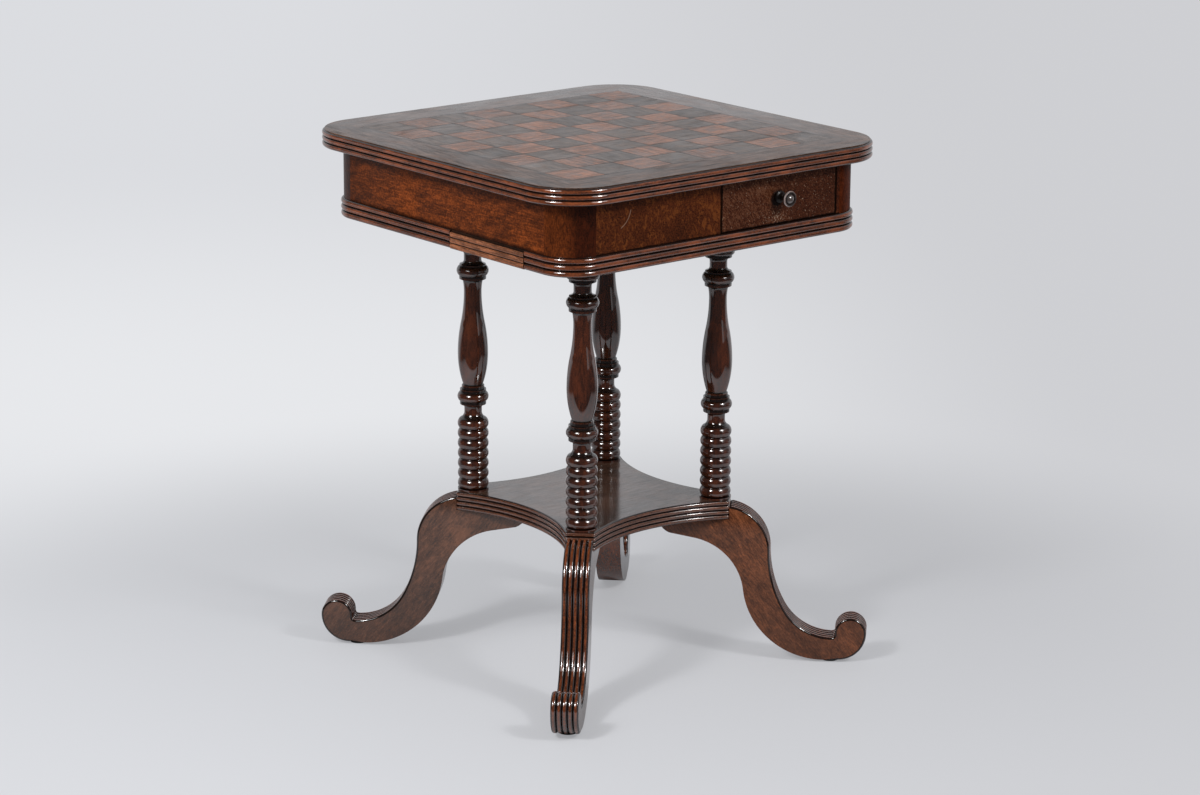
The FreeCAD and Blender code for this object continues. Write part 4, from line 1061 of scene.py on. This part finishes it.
def moulding(name, side_angle, start, end, section, finish, radius=0.050, steps=12):
    """A length of moulding; None as start or end means a mitred corner."""
    line = []
    for x, corner_x, first in ((start, -corner_centre, 225), (end, corner_centre, 270)):
        if x is None:
            centre = Vector((corner_x, -corner_centre))
            line += [centre + spoke(first + 45 * step / steps) * radius for step in range(steps + 1)]
        else:
            line.append(Vector((x, -corner_centre - radius)))
    turned_by = Matrix.Rotation(math.radians(side_angle), 2)
    points = [(*(turned_by @ point), moulding_low) for point in line]
    mesh = mesh_from(name, points, [], [(i, i + 1) for i in range(len(points) - 1)])
    made = run_recipe(plane, f"{name}_reeded", mesh, Section=section, Finish=finish.material)
    ride_on(made, "table", "mahogany", finish, name)


moulding("lower_moulding_front", 0, None, None, full_section, edge_wood)
moulding("lower_moulding_right", 90, None, None, full_section, edge_wood)
moulding("lower_moulding_back", 180, None, None, full_section, edge_wood)
moulding("lower_moulding_left_rear", -90, None, 0.0166, full_section, edge_wood)
moulding("lower_moulding_left_patch", -90, 0.0174, 0.1682, worn_section, patch_wood)
moulding("lower_moulding_left_near", -90, 0.1698, None, full_section, edge_wood)
bpy.data.objects.remove(full_section)
bpy.data.objects.remove(worn_section)

# %% [markdown]
# ## Corner posts
# The frieze turns its corners on quarter-round posts with the grain upright.  One quarter of a
# cylinder, set on the four corners by the corner recipe, is all they need.

# %% Corner posts
post_radius, post_low, post_high = 0.046, 0.625, 0.695
arc = [spoke(-45 + 90 * step / 24) * post_radius for step in range(25)]
quarter_disc = [Vector((0.0, 0.0))] + arc
count = len(quarter_disc)
post_points = [(*point, level) for level in (post_low, post_high) for point in quarter_disc]
post_faces = [(i, (i + 1) % count, (i + 1) % count + count, i + count) for i in range(count)]
post_faces += [tuple(reversed(range(count))), tuple(range(count, 2 * count))]
post_mesh = mesh_from("post", post_points, post_faces)
posts = run_recipe(corners, "corner_posts", post_mesh, Reach=corner_centre * math.sqrt(2),
                   Finish=post_wood.material)
ride_on(posts, "table", "flame_veneer", post_wood, *(f"post_{corner}" for corner in corner_names))

# %% [markdown]
# ## Turned columns
# Four columns were turned between centres: seven rings at the foot, a slim neck, a collar, a
# long vase, a second collar and a capital.  The lathe recipe spins the same half section, and
# the corner recipe sets the column on its four places.  Dirt and painted shade darken wherever
# the profile dips below its neighbours, so the hollow is measured from the profile itself.

# %% Columns
def hollows_of(points, reach=0.0022, full=0.0032):
    """How far each point of a profile lies below the widest point near it, from 0 to 1."""
    found = []
    for point in points:
        widest = max(other.x for other in points if abs(other.y - point.y) < reach)
        found.append(0.5 * min((widest - point.x) / full, 1.0) ** 1.5)
    return found


def profile_mesh(name, moves, base, longest):
    """Half the section of a turned piece, from the middle of its foot to the middle of its top."""
    points = [point for point, _ in without_repeats(trace((0.0, 0.0), moves, longest))]
    marks = hollows_of(points)
    return mesh_from(name, [(point.x, 0.0, point.y + base) for point in points], [], hollow=marks)


def rise(half, height):
    """Radius of an arc with that half chord and that rise."""
    return (half * half + height * height) / (2 * height)


# Radius and height in millimetres: the seven rings, then neck, collar, vase, collar and capital.
ring_height, ring_foot, ring_radius = 13.95, 2.2, 17.9
column_moves = [(21.0, 0.0), (21.0, ring_foot), (ring_radius, ring_foot)]
column_moves += [(ring_radius, ring_foot + ring_height * number, rise(ring_height / 2, 3.1), 1)
                 for number in range(1, 8)]
column_moves += [
    (11.9, 109.0, 9.6, -1), (11.9, 115.0), (15.1, 119.5, 5.2, -1), (17.7, 119.5), (17.7, 124.0),
    (17.7, 136.6, rise(6.3, 3.4), 1), (17.7, 140.5), (15.3, 140.5), (15.3, 145.5), (13.5, 147.5),
    (20.4, 190.0, rise(42.5, 6.9), 1), (16.15, 232.5, rise(42.5, 4.25), 1),
    (11.9, 275.0, rise(42.5, 4.25), -1), (13.1, 288.5, rise(13.5, 1.2), -1),
    (15.9, 292.5, 4.6, -1), (18.1, 292.5), (18.1, 297.0), (18.1, 310.5, rise(6.75, 3.5), 1),
    (17.7, 310.5), (17.7, 312.5), (11.8, 318.5, 6.0, -1), (11.8, 326.0), (17.5, 331.5, 5.6, -1),
    (18.0, 331.5), (18.0, 335.5), (19.7, 335.5), (19.7, 342.0, rise(3.25, 2.0), 1), (17.5, 342.0),
    (21.0, 370.0, 60.0, -1), (22.0, 370.0), (22.0, 376.0), (0.0, 376.0),
]
column_place, round_steps = 0.116, 56
column_profile = profile_mesh("column_profile", millimetres(*column_moves), platform_top, 0.0016)
column = run_recipe(lathe, "column", column_profile, Segments=round_steps, Finish=turned_wood.material)
columns_all = run_recipe(corners, "turned_columns", column.data, Reach=column_place * math.sqrt(2),
                         Finish=turned_wood.material)
bpy.data.objects.remove(column)
ride_on(columns_all, "table", "mahogany", turned_wood, *(f"column_{corner}" for corner in corner_names))

# %% [markdown]
# ## Scrolled legs
# Each leg is sawn from a thick plank and carries five reeds along its outer edge, from the
# platform over the knee and down to the scroll.  The side view is one traced outline.  Its
# reeded stretch becomes a ribbon of small arcs across the thickness, and its two flat sides are
# single faces.  The grain runs straight through the plank, whatever way the leg bends, so each
# point also keeps its place in the plank.

# %% The leg's outline
# Millimetres: x runs out from the table's axis and y up from the floor.
knee_x, knee_y, knee_radius = 176.0, 153.0, 64.0
knee_end = knee_x + knee_radius
scroll_x, scroll_y = 325.5, 35.5
# The hollow is two arcs that flow together.  It leaves the knee upright and ends level where the
# scroll starts.  The lower radius is chosen, and the upper one and the meeting point follow.
hollow_low = 74.0
outwards, down = scroll_x - knee_end, knee_y - scroll_y
hollow_high = (2 * down * hollow_low - outwards ** 2 - down ** 2) / (2 * hollow_low - 2 * outwards)
part_way = hollow_low / (hollow_high - hollow_low)
meet = (scroll_x - part_way * (hollow_high - outwards),
        scroll_y + hollow_low - part_way * (down - hollow_low))
reeded_moves = millimetres(
    (knee_end, knee_y, knee_radius, -1), (*meet, hollow_high, 1), (scroll_x, scroll_y, hollow_low, 1),
    (329.5, 39.5, 4.0, 1), (329.5, 42.0), (351.0, 63.5, 21.5, -1), (372.5, 42.0, 21.5, -1),
    (334.0, 3.5, 38.5, -1))
plain_moves = millimetres(
    (313.0, 3.5), (205.0, 98.0, rise(108.0, 94.5), -1),
    (140.0, 170.0, 83.0, 1), (104.0, 176.5), (88.0, 198.0, 26.0, -1), (185.0, 198.0))
print("legs: hollow arcs of", round(hollow_high, 1), "and", hollow_low, "mm")

# %% The leg's mesh
def on_knee(x):
    """The point of the knee's arc at this x, in metres."""
    return Vector((x, knee_y + math.sqrt(knee_radius ** 2 - (x - knee_x) ** 2))) / 1000


def strip(first, second):
    """The four-cornered faces between two rows of points."""
    return list(zip(first, first[1:], second[1:], second))


def leg_mesh():
    start, nosing_end = on_knee(185.0), on_knee(190.5)
    reeded = without_repeats(trace(start, [(*nosing_end, knee_radius / 1000, -1)], 0.0005)
                             + trace(nosing_end, reeded_moves, 0.0025))
    plain = without_repeats(trace((0.334, 0.0035), plain_moves, 0.005))[1:]
    ribbon = reed_section(low=-leg_half_thickness, pitch=0.0072, count=5, depth=0.0030,
                          steps=8, narrow=1.5)
    deepest, width = ribbon[0][0], len(ribbon)
    points, marks = [], []
    for spot, outward in reeded:
        # The carver rounded the reeds where they start, like the tips of fingers.
        begun = min((spot - start).length / 0.0042, 1.0)
        full = math.sqrt(1 - (1 - begun) ** 2)
        for inset, side, mark in ribbon:
            inner = spot - outward * (deepest - (deepest - inset) * full)
            points.append((inner.x, side, inner.y))
            marks.append(max(mark, (1.0 - full) * 0.3))
    rows = [range(row * width, (row + 1) * width) for row in range(len(reeded))]
    faces = [face for row, after in zip(rows, rows[1:]) for face in strip(row, after)]
    # The flat faces have points of their own, so that the last valley's dirt and painted shade stay off
    # them.
    side_view = [spot - outward * deepest for spot, outward in reeded] + [spot for spot, _ in plain]
    count, first_flat = len(side_view), len(points)
    for side in (-leg_half_thickness, leg_half_thickness):
        points += [(spot.x, side, spot.y) for spot in side_view]
        marks += [0.0] * count
    near, far = range(first_flat, first_flat + count), range(first_flat + count, first_flat + 2 * count)
    faces += [tuple(reversed(near)), tuple(far)]
    faces += strip(near[len(reeded):], far[len(reeded):])
    faces.append((*rows[-1], far[len(reeded)], near[len(reeded)]))
    faces.append((near[-1], far[-1], *reversed(rows[0])))
    grain = spoke(-52)
    plank = [(x * grain.x + z * grain.y, x * -grain.y + z * grain.x, y) for x, y, z in points]
    return mesh_from("leg", points, faces, hollow=marks, plank=plank)

# %% Four legs
legs = run_recipe(corners, "scrolled_legs", leg_mesh(), Reach=0.0, Finish=leg_wood.material)
ride_on(legs, "table", "mahogany", leg_wood, *(f"leg_{corner}" for corner in corner_names))

# %% [markdown]
# ## Drawer knob
# A small turned knob with a slim stem, a spreading head, a rim and a domed face.  It is turned
# upright by the lathe recipe and then laid over to point out of the drawer.

# %% The knob's finish
def knob_finish():
    """Dark turned wood: the rim pale from wear and a painted reflection, the dome with a painted sheen,
    and the foot and the groove painted dark as shade.
    """
    wood = Finish("mahogany_knob", Coat_Roughness=0.06, Coat_IOR=2.1, Specular_IOR_Level=0.3)
    x, y, z = wood.parts(wood.place)
    from_axis = away_from(x, z, knob_x, knob_z)
    in_front = 1 - wood.soft_step(y, -0.2715, -0.2705)
    rim = in_front * wood.soft_step(from_axis, 0.0074, 0.0078)
    dome = in_front * (1 - wood.soft_step(from_axis, 0.0058, 0.0062))
    # The foot, in the head's shadow, and the groove are painted dark as shade.
    foot = wood.soft_step(y, -0.263, -0.257)
    groove = wood.soft_step(wood.attribute("hollow"), 0.02, 0.15) * (1 - dome)
    smear = wood.noise(wood.place, 420.0, 3.0, 0.6)
    colour = wood.blend(smear, (0.010, 0.0055, 0.0040), (0.040, 0.0240, 0.0170))
    # The front of the rim is pale, partly from wear and partly as a painted reflection.
    rubbed_and_sheen = wood.blend(smear, (0.180, 0.125, 0.110), (0.420, 0.330, 0.300))
    colour = wood.blend(rim * 0.9, colour, rubbed_and_sheen)
    # The domed face is painted lighter, as a painted sheen.
    dome_sheen = wood.blend(smear, (0.030, 0.021, 0.018), (0.080, 0.058, 0.050))
    colour = wood.blend(dome * 0.8, colour, dome_sheen)
    colour = wood.blend(foot * 0.9, colour, (0.003, 0.002, 0.0015))
    colour = wood.blend(groove * 0.9, colour, (0.004, 0.002, 0.0015))
    coat = (1.0 - smear * 0.2) * (1 - groove * 0.9) * (1 - foot * 0.85)
    return wood.complete(colour, 0.34 + smear * 0.15, coat, smear, 0.10, 0.0003)

# %% Knob
knob_wood = knob_finish()
# Radius and height in millimetres: tenon, shoulder, stem, spreading head, rim and domed face.
knob_moves = millimetres(
    (4.0, 0.0), (4.0, 18.0), (7.4, 18.0), (7.4, 20.6, 1.6, 1), (4.4, 24.0, 3.6, -1),
    (9.2, 35.0, 12.0, -1), (9.2, 39.6, 2.6, 1), (8.2, 39.5), (7.7, 38.2), (6.1, 38.6),
    (0.0, 42.0, rise(6.1, 3.4), 1))
knob_profile = profile_mesh("knob_profile", knob_moves, 0.0, 0.0005)
knob = run_recipe(lathe, "turned_knob", knob_profile, Segments=round_steps, Finish=knob_wood.material)
knob.data.transform(Matrix.Translation((knob_x, knob_y, knob_z))
                    @ Matrix.Rotation(math.radians(90), 4, "X"))
ride_on(knob, "drawer", "mahogany", knob_wood, "drawer_knob")
